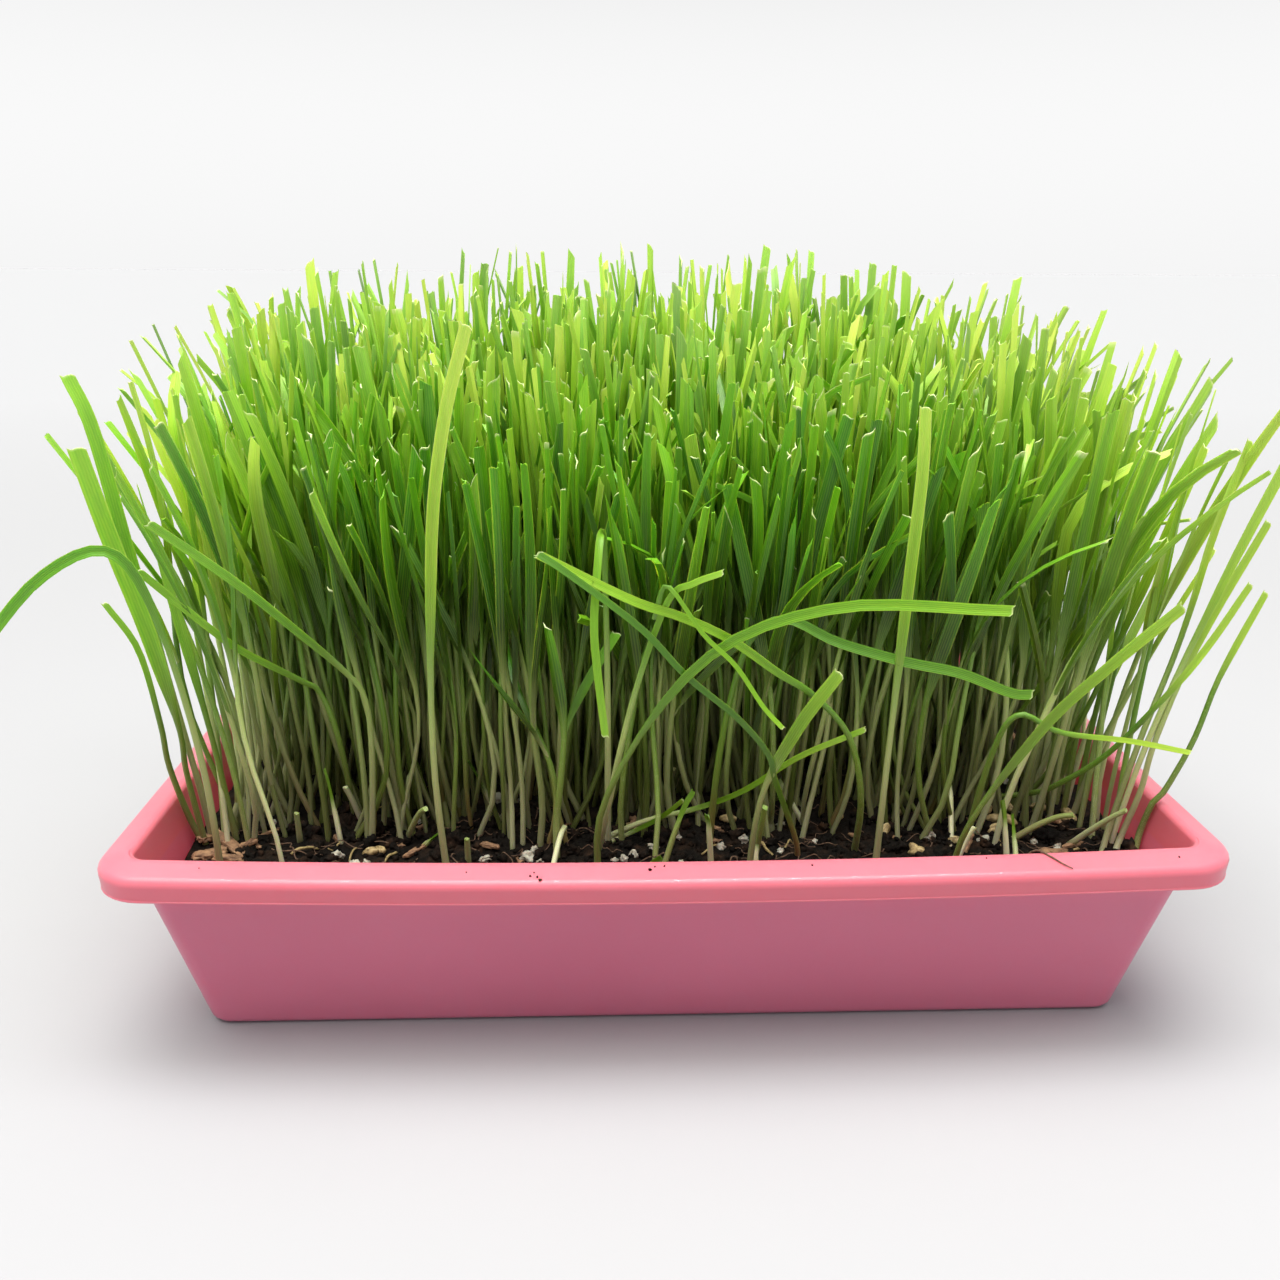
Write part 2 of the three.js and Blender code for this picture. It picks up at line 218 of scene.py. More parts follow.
# Colours of the grass, each with its place on a scale from 0 to 1.
LEAF_BY_MOOD = [(0, srgb(202, 228, 76)), (0.25, srgb(168, 215, 42)), (0.5, srgb(132, 193, 29)),
                (0.75, srgb(97, 165, 31)), (1, srgb(80, 139, 50))]
# Painted shade, multiplied into a leaf from its root up: darkest low down, none at its tip.
SHADE_BY_SHARE = [(0.35, srgb(56, 74, 40)), (0.6, srgb(90, 114, 68)), (0.8, srgb(172, 188, 152)),
                  (0.95, srgb(255, 255, 255))]
GREENER_STEM = [(0, srgb(70, 62, 44)), (0.025, srgb(144, 148, 96)), (0.12, srgb(122, 148, 66)),
                (0.26, srgb(94, 138, 40)), (0.44, srgb(62, 116, 24))]
PALER_STEM = [(0, srgb(110, 98, 72)), (0.03, srgb(212, 210, 176)), (0.14, srgb(200, 206, 150)),
              (0.3, srgb(178, 198, 118)), (0.48, srgb(100, 150, 46))]
RIGHT_END_LEAF = srgb(168, 188, 66)
# Painted shade for the leaves at the stand's front.
FRONT_SHADE = srgb(130, 184, 72)
# Painted light that pales the last of the leaves away from the front.
PAINTED_LIGHT_TIP = srgb(206, 214, 140)
STEM_BLUSH = srgb(184, 108, 84)
# Painted shade for the stems deep inside the stand.
PAINTED_SHADE_INSIDE = srgb(104, 104, 84)
VEIN_LIGHT = srgb(206, 240, 72)
CUT_END = srgb(220, 226, 168)


def leaf_colour(g, mood, share, front, mottle):
    """Green by the blade's mood, with painted shade low down and at the front, painted light on the tips away
    from the front, and yellower at the right-hand end.
    """
    leaf = g.ramp(g.maths("ADD", mood, g.mapped(mottle, 0.3, 0.7, -0.08, 0.08)), LEAF_BY_MOOD)
    shaded = g.ramp(share, SHADE_BY_SHARE)
    rightwards = g.node("SeparateXYZ", {"Vector": g.place()}).outputs["X"]
    sideways = g.maths("ABSOLUTE", rightwards)
    leaf = g.mixed(g.mapped(rightwards, 0.05, 0.16, 0, 0.34), leaf, RIGHT_END_LEAF)
    # Painted shade down each leaf, weaker towards the stand's ends.
    leaf = g.mixed(g.mapped(sideways, 0.1, 0.16, 1, 0.35), leaf, shaded, "MULTIPLY")
    # Painted shade on the front blades' leaves, fading towards the stand's ends.
    front = g.times(front, g.mapped(sideways, 0.09, 0.15, 1, 0.2))
    leaf = g.mixed(front, leaf, FRONT_SHADE, "MULTIPLY")
    # Painted light: the last of each leaf away from the front is paled.
    tip_painted_light = g.times(g.mapped(share, 0.84, 1, 0, 0.25), g.mapped(front, 0, 0.6, 1, 0))
    return g.mixed(tip_painted_light, leaf, PAINTED_LIGHT_TIP)


def stem_colour(g, mood, rise):
    """Sage or cream by chance, and for some blades reddish at the foot."""
    number = g.times(mood, 91)
    chance = g.node("TexWhiteNoise", {"W": number}, noise_dimensions="1D").outputs["Value"]
    stem = g.mixed(g.mapped(chance, 0.25, 0.75), g.ramp(rise, GREENER_STEM), g.ramp(rise, PALER_STEM))
    some = g.mapped(mood, 0.62, 0.8)
    low = g.mapped(rise, 0.17, 0.02, 0, 0.6)
    return g.mixed(g.times(some, low), stem, STEM_BLUSH)


def grass_material():
    """Leaf and stem, with fine veins and a pale cut end."""
    g = Graph("wheatgrass", Subsurface_Weight=0.3, Subsurface_Scale=0.001, Subsurface_Radius=(0.6, 1, 0.2),
              Specular_IOR_Level=0.4)
    rise, share, across, mood, leafy, cut, deep, front = (g.attribute(fact) for fact in BLADE_FACTS)
    lengthwise = {"X": g.times(across, 2.5), "Y": g.times(rise, 22), "Z": g.times(mood, 400)}
    mottle = g.noise(1, 4, g.node("CombineXYZ", lengthwise).outputs["Vector"])
    leaf = leaf_colour(g, mood, share, front, mottle)
    colour = g.mixed(leafy, stem_colour(g, mood, rise), leaf)
    # Painted shade: stems deep inside the stand are darkened low down.
    inside_painted_shade = g.times(deep, g.mapped(rise, 0.12, 0.5, 0.85, 0))
    colour = g.mixed(inside_painted_shade, colour, PAINTED_SHADE_INSIDE, "MULTIPLY")
    veins = g.maths("SINE", g.times(across, 19))
    colour = g.mixed(g.mapped(veins, -1, 1, 0, 0.1), colour, VEIN_LIGHT, "SCREEN")
    colour = g.mixed(g.mapped(cut, 0.3, 1, 0.75, 0), colour, CUT_END)
    g.shade("Base Color", colour)
    g.shade("Roughness", g.mapped(mottle, 0.3, 0.7, 0.36, 0.5))
    g.bump(g.maths("ADD", g.times(veins, 0.5), mottle), 0.35, 0.00012)
    return g.material


def plastic_material():
    g = Graph("pink_plastic", Subsurface_Weight=0.5, Subsurface_Scale=0.005,
              Subsurface_Radius=(1, 0.45, 0.42), Coat_Weight=0.3, Coat_Roughness=0.035,
              Specular_IOR_Level=0.3)
    cloud = g.noise(9, 3)
    colour = g.mixed(g.mapped(cloud, 0.35, 0.65), srgb(200, 107, 133), srgb(205, 112, 138))
    height = g.node("SeparateXYZ", {"Vector": g.place()}).outputs["Z"]
    skirt_foot = (TRAY_HEIGHT - LIP_DROP) * MM
    # Painted light: the rim above the skirt's foot is a redder pink, standing in for light through the thin
    # plastic.
    colour = g.mixed(g.mapped(height, skirt_foot - MM, skirt_foot), colour, srgb(208, 108, 124))
    # Painted light: the inner walls get a brighter, redder pink that stands in for light through the plastic
    # and bounced between its walls.
    colour = g.mixed(g.attribute("inside"), colour, srgb(255, 82, 101))
    g.shade("Base Color", colour)
    g.shade("Roughness", g.mapped(g.noise(60, 4), 0.3, 0.7, 0.42, 0.52))
    g.bump(g.noise(70, 2), 0.1, 0.0004)
    return g.material


def soil_material():
    g = Graph("potting_mix", Specular_IOR_Level=0.14)
    patches = g.noise(160, 5)
    fibres = g.noise(900, 3)
    colour = g.ramp(patches, [(0.3, srgb(8, 6, 4)), (0.5, srgb(18, 13, 9)), (0.64, srgb(38, 26, 18)),
                              (0.78, srgb(70, 48, 32))])
    g.shade("Base Color", colour)
    g.shade("Roughness", g.mapped(fibres, 0.35, 0.65, 0.7, 1))
    g.bump(g.maths("ADD", fibres, patches), 0.8, 0.0008)
    return g.material


def perlite_material():
    g = Graph("perlite", Roughness=0.85, Subsurface_Weight=0.1, Subsurface_Scale=0.001)
    pores = g.noise(1500, 3)
    dirt = g.noise(350, 3)
    colour = g.mixed(g.mapped(dirt, 0.42, 0.66, 0, 0.8), srgb(196, 190, 174), srgb(84, 68, 52))
    g.shade("Base Color", colour)
    g.bump(pores, 0.9, 0.0006)
    return g.material


def woody_material(name, light, dark, scale):
    """Bark, straw, husk or root: fibres run along the piece."""
    g = Graph(name, Roughness=0.75)
    stretched = g.node("Mapping", {"Vector": g.place(), "Scale": (1, 1, 3)}).outputs["Vector"]
    fibres = g.noise(scale, 4, stretched)
    g.shade("Base Color", g.ramp(fibres, [(0.3, dark), (0.65, light)]))
    g.bump(fibres, 0.6, 0.0004)
    return g.material


def seed_material():
    g = Graph("wheat_grain", Roughness=0.6)
    skin = g.noise(700, 4)
    colour = g.ramp(skin, [(0.3, srgb(96, 74, 46)), (0.55, srgb(178, 154, 106)), (0.8, srgb(216, 200, 156))])
    g.shade("Base Color", colour)
    g.bump(skin, 0.5, 0.0003)
    return g.material


# ---- meshes

def placed(name, data):
    """A new object of the scene with this mesh, light or camera."""
    made = bpy.data.objects.new(name, data)
    bpy.context.scene.collection.objects.link(made)
    return made


def mesh_piece(name, vertices, faces, material, nodes=(), sharp=None):
    """A shaded mesh from millimetre places, carried by the tray."""
    mesh = bpy.data.meshes.new(name)
    mesh.from_pydata((np.asarray(vertices) * MM).tolist(), [], faces)
    mesh.materials.append(material)
    mesh.polygons.foreach_set("use_smooth", np.ones(len(mesh.polygons), bool))
    if sharp:
        mesh.set_sharp_from_angle(angle=math.radians(sharp))
    mesh.update()
    piece = placed(name, mesh)
    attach(piece, "root")
    if nodes:
        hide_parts(*nodes)
    return piece


def cells(grid):
    """The four corners of each cell of a grid, in order round the cell."""
    return np.stack([grid[:-1, :-1], grid[:-1, 1:], grid[1:, 1:], grid[1:, :-1]], axis=2)


def skin(rings, sides):
    """Faces round a closed tube of this many loops, and its two ends."""
    loops = np.arange(rings * sides).reshape(rings, sides)
    closed = np.hstack([loops, loops[:, :1]])
    return [*cells(closed).reshape(-1, 4).tolist(), loops[0, ::-1].tolist(), loops[-1].tolist()]


class Bag:
    """Gathers many small closed shapes into one mesh."""

    def __init__(self):
        self.vertices, self.faces, self.count = [], [], 0

    def add(self, vertices, faces):
        self.vertices.append(np.asarray(vertices))
        self.faces.extend([[i + self.count for i in face] for face in faces])
        self.count += len(vertices)

    def piece(self, name, material, slot, nodes=(), sharp=None):
        return mesh_piece(name, np.concatenate(self.vertices), self.faces, material, nodes, sharp)


# ---- tray

def rounded(corners):
    """Points round an outline of (inset, height, radius, steps) corners, each turned with an arc."""
    points = []
    for index, (inset, height, radius, steps) in enumerate(corners):
        here = np.array([inset, height])
        before = np.array(corners[index - 1][:2]) - here
        after = np.array(corners[(index + 1) % len(corners)][:2]) - here
        before /= np.linalg.norm(before)
        after /= np.linalg.norm(after)
        half = math.acos(np.clip(before @ after, -1, 1)) / 2
        start = here + before * radius / math.tan(half)
        end = here + after * radius / math.tan(half)
        centre = here + (before + after) / np.linalg.norm(before + after) * radius / math.sin(half)
        for step in range(steps + 1):
            share = step / steps
            spoke = mix(start, end, share) - centre
            points.append(centre + spoke / np.linalg.norm(spoke) * radius)
    return points


def bulge_at(x, height):
    """How far the long sides stand out here."""
    return BULGE * height / TRAY_HEIGHT * max(1 - (x / (TRAY_LENGTH / 2)) ** 2, 0)


def tray_loop(inset, height, steps, tightest):
    """A rounded rectangle at this height, drawn in from the rim's outline by inset. Its long sides bulge."""
    radius = max(RIM_RADIUS - inset, tightest)
    x = TRAY_LENGTH / 2 - inset - radius
    y = TRAY_WIDTH / 2 - inset - radius
    points = []
    for quarter, (cx, cy) in enumerate(((x, y), (-x, y), (-x, -y), (x, -y))):
        for step in range(steps + 1):
            angle = (quarter + step / steps) * math.pi / 2
            points.append((cx + radius * math.cos(angle), cy + radius * math.sin(angle)))
        if quarter % 2 == 0:
            side_y = cy + math.copysign(radius, cy)
            points += [(cx * (1 - 2 * step / SIDE_STEPS), side_y) for step in range(1, SIDE_STEPS)]
    return [(px, py + math.copysign(bulge_at(px, height), py), height) for px, py in points]


def outside_inset(height):
    """How far in from the rim's outline the wall's outer face is at this height."""
    return BASE_INSET - DRAFT * height


def make_tray():
    under_flange = TRAY_HEIGHT - SKIN
    skirt_foot = TRAY_HEIGHT - LIP_DROP
    mouth = outside_inset(TRAY_HEIGHT) + SKIN
    outline = rounded([
        (outside_inset(0), 0, 3.4, 5),
        (outside_inset(under_flange), under_flange, 1.2, 3),
        (SKIN, under_flange, 0.8, 3),
        (SKIN, skirt_foot, 0.5, 2),
        (0.5, skirt_foot, 0.3, 3),
        (0.5, skirt_foot + 0.5, 0.2, 3),
        (0.7, skirt_foot + 0.7, 0.2, 3),
        (0, TRAY_HEIGHT - RIM_FALL, EDGE_RADIUS, 9),
        (RIM_CREST, TRAY_HEIGHT, 6, 4),
        (mouth - 0.4, TRAY_HEIGHT - 0.15, 1.7, 6),
        (outside_inset(FLOOR) + SKIN, FLOOR, 3.4, 4),
        (FLOOR_CORNER, FLOOR, 1, 1),
        (FLOOR_CORNER, 0, 1, 1),
    ])
    outline = [point for point in outline if point[0] < FLOOR_CORNER - 5]
    top = max(range(len(outline)), key=lambda i: outline[i][1])
    loops = [tray_loop(inset, height, ARC_STEPS, INNER_RADIUS + SKIN if i < top else INNER_RADIUS)
             for i, (inset, height) in enumerate(outline)]
    faces = skin(len(loops), len(loops[0]))
    piece = mesh_piece("tray_shell", np.concatenate(loops), faces, plastic_material(),
                       ["planter_tray"])
    # Marks the inner faces below the rim for the painted light that brightens them.
    inner_glow_shares = [np.clip((TRAY_HEIGHT - 1 - height) / 4, 0, 1) * (i > top)
              for i, (_, height) in enumerate(outline)]
    inside = piece.data.attributes.new("inside", "FLOAT", "POINT")
    inside.data.foreach_set("value", np.repeat(inner_glow_shares, len(loops[0])))
    piece.modifiers.new("even_shading", "WEIGHTED_NORMAL").weight = 100


# ---- blades

LOOP_SIDE = np.array([1, 0.55, 0, -0.55, -1, -0.55, 0, 0.55])  # across the leaf, from edge to edge and back
LOOP_FACE = np.array([0, 1, 1, 1, 0, -1, -1, -1])  # upper face, then lower face
LOOP = len(LOOP_SIDE)
LOOP_ANGLE = np.arange(LOOP) * math.tau / LOOP
CUT_RAGS = np.array([0.3, -0.5, 0.2, 0.6, -0.2, 0.6, 0.2, -0.5])  # a cut end's uneven edge
KEEL = 0.22 * np.array([0, 0, -0.25, 0, 0, 0, -1.0, 0])  # the midrib: a groove above and a ridge below
FULL_RISE = 200  # length of a blade at which rise, in its material, is 1
STRIP_MARGIN = 0.06  # of a blade's strip of the map, on either side


def distances(points):
    """How far each point lies along the line through them."""
    return np.concatenate([[0], np.cumsum(np.linalg.norm(np.diff(points, axis=0), axis=1))])


class BladeBag(Bag):
    """Blades of one piece, with what their material reads at each point."""

    def __init__(self):
        super().__init__()
        self.facts = {fact: [] for fact in BLADE_FACTS}
        self.loop_counts = []

    def blade(self, points, across, width, depth, leafy, fold, look, start=0.0, share=(0, 1)):
        """One blade through points, with its width along across, as loops of eight points."""
        count = len(points)
        run = np.gradient(points, axis=0)
        run /= np.linalg.norm(run, axis=1, keepdims=True)
        across = across - run * np.sum(across * run, axis=1, keepdims=True)
        across /= np.linalg.norm(across, axis=1, keepdims=True)
        out = np.cross(run, across)
        leafy, width, depth, fold = (np.broadcast_to(v, count)[:, None] for v in (leafy, width, depth, fold))

        body = (1 - 0.7 * LOOP_SIDE**2) * LOOP_FACE * depth / 2
        valley = fold * (np.abs(LOOP_SIDE) - 0.5) * width / 2
        side = mix(np.cos(LOOP_ANGLE), LOOP_SIDE, leafy) * width / 2
        face = mix(np.sin(LOOP_ANGLE) * depth / 2, body + valley + KEEL, leafy)
        places = points[:, None] + across[:, None] * side[..., None] + out[:, None] * face[..., None]
        places[-1] += run[-1] * (LOOP_SIDE * look["slant"] + CUT_RAGS * look["ragged"])[:, None]
        self.add(places.reshape(-1, 3), skin(count, LOOP))
        self.loop_counts.append(count)

        length = start + distances(points)[:, None]
        facts = {"rise": np.clip(length / FULL_RISE, 0, 1), "share": np.linspace(*share, count)[:, None],
                 "leafy": leafy, "cut": (length[-1] - length) / look["pale"] + look["green_cut"],
                 "across": LOOP_SIDE, "mood": look["mood"], "deep": look["deep"], "front": look["front"]}
        for fact, values in facts.items():
            self.facts[fact].append(np.broadcast_to(values, (count, LOOP)).ravel())

    def piece(self, name, material, slot, nodes=(), sharp=62):
        made = super().piece(name, material, slot, nodes, sharp)
        for fact, values in self.facts.items():
            attribute = made.data.attributes.new(fact, "FLOAT", "POINT")
            attribute.data.foreach_set("value", np.concatenate(values))
        self.lay_out(made.data)
        return made

    def lay_out(self, mesh):
        """Gives each blade an upright strip of its own in the OFBake map."""
        strip = 1 / len(self.loop_counts)
        places = []
        for number, count in enumerate(self.loop_counts):
            rows = 0.02 + 0.95 * np.arange(count) / (count - 1)
            columns = (number + STRIP_MARGIN + (1 - 2 * STRIP_MARGIN) * np.arange(LOOP + 1) / LOOP) * strip
            places.append(cells(np.stack(np.meshgrid(columns, rows), axis=-1)).reshape(-1, 2))
            middle = (number + 0.5) * strip
            for height in (0.01, 0.985):
                across, up = 0.4 * strip * np.cos(LOOP_ANGLE), 0.008 * np.sin(LOOP_ANGLE)
                places.append(np.stack([middle + across, height + up], axis=1))
        layer = mesh.uv_layers.new(name="OFBake")
        layer.data.foreach_set("uv", np.concatenate(places).ravel())


# ---- where the grass stands

def lean_at(x, y):
    """How far a blade leans out at its tip."""
    u = x / (STAND_LENGTH / 2)
    v = (y - STAND_MIDDLE) / (STAND_WIDTH / 2)
    out_x = 7 * u + np.where(u < 0, 17, 23) * u**3 * np.abs(u)
    out_y = 4 * v + np.where(v > 0, 10, 17) * v**3
    return out_x, out_y


def cut_height(x, y):
    """Length of the cut blades above the soil."""
    across = x / (STAND_LENGTH / 2)
    back = np.clip((y - STAND_MIDDLE) / STAND_WIDTH + 0.5, 0, 1)
    left, right = max(-across, 0), max(across, 0)
    front_height = FRONT_CUT + 22 * across * across
    back_height = BACK_CUT - 14 * left * left - 24 * right**3
    return mix(front_height, back_height, back**0.9)


def clump_plan():
    """The CAD's clumps: middle, cell size, crown half-size and number of blades."""
    plan = []
    for row, columns in enumerate(ROW_COLUMNS):
        for column in range(columns):
            cell = (STAND_LENGTH / columns, CELL_Y)
            x = (column - (columns - 1) / 2) * cell[0]
            y = STAND_MIDDLE + (row - (len(ROW_COLUMNS) - 1) / 2) * CELL_Y
            crown = [size * share for size, share in zip(cell, CROWN_SHARE)]
            plan.append(((x, y), cell, crown, round(cell[0] * cell[1] / BLADE_GROUND)))
    return plan


def cad_blade(middle, cell, crown, blades, phase, index, draw):
    """This blade as the CAD has it, but narrower, and with its root further back at the front."""
    angle = phase + index * GOLDEN_ANGLE + draw() * 0.35
    reach = math.sqrt((index + 0.35 + 0.3 * draw()) / blades)
    along = (math.cos(angle), math.sin(angle))
    fill = reach / max(abs(along[0]), abs(along[1])) ** 0.7
    root = [middle[i] + along[i] * reach * crown[i] * ROOT_SHARE for i in (0, 1)]
    top = [middle[i] + min(max(along[i] * fill, -1), 1) * (cell[i] / 2 - CELL_MARGIN) for i in (0, 1)]
    height = cut_height(*top) + (draw() - 0.5) * 22
    root[1] += FRONT_SHIFT * smooth(-root[1], 46, 66)
    leaf_start = 0.36 + 0.12 * draw()
    turn = draw() * math.pi
    twist = (draw() - 0.5) * 1.2
    width = LEAF_WIDTH + (draw() - 0.5) * 1.2
    draw()  # the CAD draws the cut's slant here
    return dict(root=root, top=top, height=height, leaf_start=leaf_start, turn=turn, twist=twist,
                width=width * LEAF_SHARE, lean=1)


def extra_blade(middle, cell, rng, place, places):
    """A stem between the CAD's, anywhere in the clump's cell."""
    columns = math.ceil(math.sqrt(places * cell[0] / cell[1]))
    rows = math.ceil(places / columns)
    u = ((place % columns) + rng.uniform(0, 1)) / columns - 0.5
    v = ((place // columns) + rng.uniform(0, 1)) / rows - 0.5
    root = [middle[0] + u * cell[0], middle[1] + v * cell[1]]
    wander = 8 if rng.random() < 0.75 else 18
    top = [root[i] + (u, v)[i] * 4 + rng.normal(0, wander) for i in (0, 1)]
    half_x, half_y = STAND_LENGTH / 2 - 2, STAND_WIDTH / 2 - 2
    top = [np.clip(top[0], -half_x, half_x), np.clip(top[1] - STAND_MIDDLE, -half_y, half_y) + STAND_MIDDLE]
    shorter = rng.uniform(8, 55) if rng.random() < SHORT_SHARE else 0
    height = cut_height(*top) + np.clip(rng.normal(-3, 9), -24, 12) - shorter
    lean = 1 if rng.random() < 0.15 else rng.uniform(0.4, 0.8)
    width = rng.uniform(1.8, 3.3) if rng.random() < NARROW_SHARE else rng.uniform(3.3, 4.8)
    return dict(root=root, top=top, height=height, leaf_start=rng.uniform(0.32, 0.54),
                turn=rng.uniform(0, math.pi), twist=rng.normal(0, 1), width=width, lean=lean)


def blade_path(blade, t, bow, kink):
    """Places along an upright blade, t running from 0 at the soil to 1 at its cut end."""
    rising = np.maximum(t, 0)
    bend = np.sin(np.pi * rising) + 0.4 * np.sin(2 * np.pi * rising)
    foot = np.clip(1 - rising / 0.2, 0, 1) ** 2
    flat = np.array([mix(root, top, rising**1.3) for root, top in zip(blade["root"], blade["top"])])
    out = np.array(lean_at(*flat)) * blade["lean"]
    flat = flat + out * rising**1.7 + np.outer(bow, bend) + np.outer(kink, foot)
    return np.stack([*flat, SOIL_TOP + blade["height"] * t], axis=1)


def flop(points, t, start, reach, direction):
    """Bends the last of a leaf over sideways."""
    over = np.clip((t - start) / (1 - start), 0, 1) ** 2
    return points + np.outer(over * reach, [*direction, -0.5])


def widths(t, start, leaf_width, pointed, stem_width=STEM_WIDTH, taper=0.14):
    """Width, thickness and leafiness of a blade that is stem up to start and leaf beyond."""
    leafy = smooth(t, start, start + 0.22)
    stem = stem_width * mix(1.12, 0.84, np.clip(t / max(start, 0.01), 0, 1))
    leaf = leaf_width * (1 - taper * np.clip((t - start - 0.25) / (0.75 - start), 0, 1) ** 2)
    width = mix(stem, leaf, leafy)
    if pointed:
        width = width * (1 - 0.93 * smooth(t, 0.62, 1.02))
    return width, mix(stem_width * STEM_DEPTH / STEM_WIDTH, LEAF_DEPTH, leafy), leafy


def sweep(turn, twist, t):
    """Directions across a blade that turns by twist on its way up."""
    angle = turn + twist * t
    return np.stack([np.cos(angle), np.sin(angle), np.zeros_like(angle)], axis=1)


def one_way(rng):
    """A level direction at random."""
    angle = rng.uniform(0, math.tau)
    return np.array([math.cos(angle), math.sin(angle)])


# How deep a root stands sets how much painted shade its stem gets.
def depth_in_stand(x, y):
    """0 at the stand's edge, 1 well inside it."""
    inside = min(STAND_LENGTH / 2 - abs(x), STAND_WIDTH / 2 - abs(y - STAND_MIDDLE))
    return float(smooth(inside, 4, 30))


def blade_look(rng, mood, root):
    """Colour and cut of one blade: most are cut nearly square, some aslant, and a few have dried back."""
    steep = rng.random() < ASLANT_SHARE
    # deep and front set how much painted shade the blade's material gives it.
    return dict(mood=float(np.clip(mood, 0, 1)), slant=rng.normal(0, 2.4 if steep else 1.1),
                ragged=rng.uniform(0.1, 0.8), pale=rng.choice([0.6, 1.2, 3], p=[0.6, 0.33, 0.07]),
                green_cut=1 if rng.random() < GREEN_CUT_SHARE else 0.3, deep=depth_in_stand(*root),
                front=1 - float(smooth(root[1], -70, 10)))


def held_in(points):
    """Keeps a blade's foot inside the tray's walls, and lets it lean on the rim above them."""
    inset = outside_inset(np.minimum(points[:, 2], TRAY_HEIGHT)) + SKIN + WALL_CLEARANCE
    past_rim = RIM_LEAN * np.maximum(points[:, 2] - TRAY_HEIGHT, 0)
    for axis, half in enumerate((TRAY_LENGTH / 2, TRAY_WIDTH / 2)):
        limit = half - inset + past_rim
        points[:, axis] = np.clip(points[:, axis], -limit, limit)
    return points


def grow(bag, blade, spread, rng):
    """Adds one stem with its leaf, and often a second leaf, to the bag."""
    start = blade["leaf_start"]
    blade["root"] = [place + rng.normal(0, stray) for place, stray in zip(blade["root"], FOOT_STRAY)]
    root = [-ROOT_DEPTH / blade["height"]]
    t = np.concatenate([root, np.linspace(0, start, 6)[:-1], np.linspace(start, 1, 10)])
    bow = rng.normal(0, 3, 2)
    kink = rng.normal(0, 3, 2)
    pointed = rng.random() < POINTED_SHARE
    points = blade_path(blade, t, bow, kink)
    leaf_part = np.clip((t - start) / (1 - start), 0, 1)
    points[:, :2] += np.outer(leaf_part**1.3, one_way(rng)) * rng.uniform(0, 2) * spread
    if rng.random() < BENT_SHARE:
        points = flop(points, t, rng.uniform(0.42, 0.75), rng.uniform(6, 26), one_way(rng))
    points = held_in(points)
    look = blade_look(rng, rng.normal(*DARK_MOOD), blade["root"])
    width, depth, leafy = widths(t, start, blade["width"], pointed, STEM_WIDTH * rng.uniform(0.75, 1.12),
                                 rng.uniform(0.04, 0.42))
    fold = mix(0.75, rng.uniform(0.1, 0.6), smooth(t, start, start + 0.35))
    bag.blade(points, sweep(blade["turn"], blade["twist"], t), width, depth, leafy, fold, look)
    if rng.random() < SECOND_LEAF_SHARE + 0.3 * look["front"]:
        second_leaf(bag, blade, bow, kink, look["mood"], rng)


def second_leaf(bag, blade, bow, kink, mood, rng):
    """A narrower leaf that leaves the same stem."""
    start = blade["leaf_start"] + rng.uniform(-0.13, 0.06)
    low = rng.random() < LOW_LEAF_SHARE
    reach = rng.uniform(0.6, 0.82) if low else rng.uniform(0.8, 1.03)
    t = np.linspace(start, reach, 8)
    points = blade_path(blade, t, bow, kink)
    part = (t - start) / (t[-1] - start)
    away = one_way(rng)
    points[:, :2] += np.outer(part**1.25, away) * (rng.uniform(12, 28) if low else rng.uniform(5, 19))
    leafy = smooth(part, 0, 0.25)
    width = mix(1.3, rng.uniform(1.8, 3.7), smooth(part, 0, 0.45))
    if rng.random() < 0.15:
        width = width * (1 - 0.9 * smooth(part, 0.45, 1.02))
    turn = math.atan2(away[1], away[0]) + math.pi / 2 + rng.normal(0, 0.5)
    bag.blade(points, sweep(turn, rng.normal(0, 0.7), part), width, mix(1.0, LEAF_DEPTH, leafy), leafy, 0.35,
              blade_look(rng, mood + rng.normal(-0.05, 0.15), blade["root"]), start * blade["height"],
              (start, reach))


def make_stand(material):
    """Every clump: the CAD's blades and, away from the front and the ends, more between them."""
    draw = Draws(GRASS_SEED)
    rng = draws_for("stand")
    for number, (middle, cell, crown, blades) in enumerate(clump_plan(), 1):
        bag = BladeBag()
        phase = draw() * math.pi * 2
        for index in range(blades):
            grow(bag, cad_blade(middle, cell, crown, blades, phase, index, draw), 3, rng)
        places = round(cell[0] * cell[1] / EXTRA_GROUND)
        for place in range(places):
            blade = extra_blade(middle, cell, rng, place, places)
            front = smooth(blade["root"][1], -64, -36)
            ends = smooth(abs(blade["root"][0]), 118, 148)
            if rng.random() < (0.04 + 0.96 * front) * (1 - 0.75 * ends):
                grow(bag, blade, 7, rng)
        bag.piece(f"wheatgrass_{number:02d}", material, "grass", [f"grass_clump_{number:02d}"])


# ---- leaning blades

def curve_through(points, count):
    """Places evenly spaced in count on a smooth curve through points."""
    points = np.asarray(points, float)
    ends = np.vstack([2 * points[0] - points[1], points, 2 * points[-1] - points[-2]])
    at = np.linspace(0, len(points) - 1, count)
    index = np.minimum(at.astype(int), len(points) - 2)
    t = (at - index)[:, None]
    p0, p1, p2, p3 = (ends[index + k] for k in range(4))
    square, cube = 2 * p0 - 5 * p1 + 4 * p2 - p3, 3 * p1 - p0 - 3 * p2 + p3
    return 0.5 * (2 * p1 + (p2 - p0) * t + square * t**2 + cube * t**3)


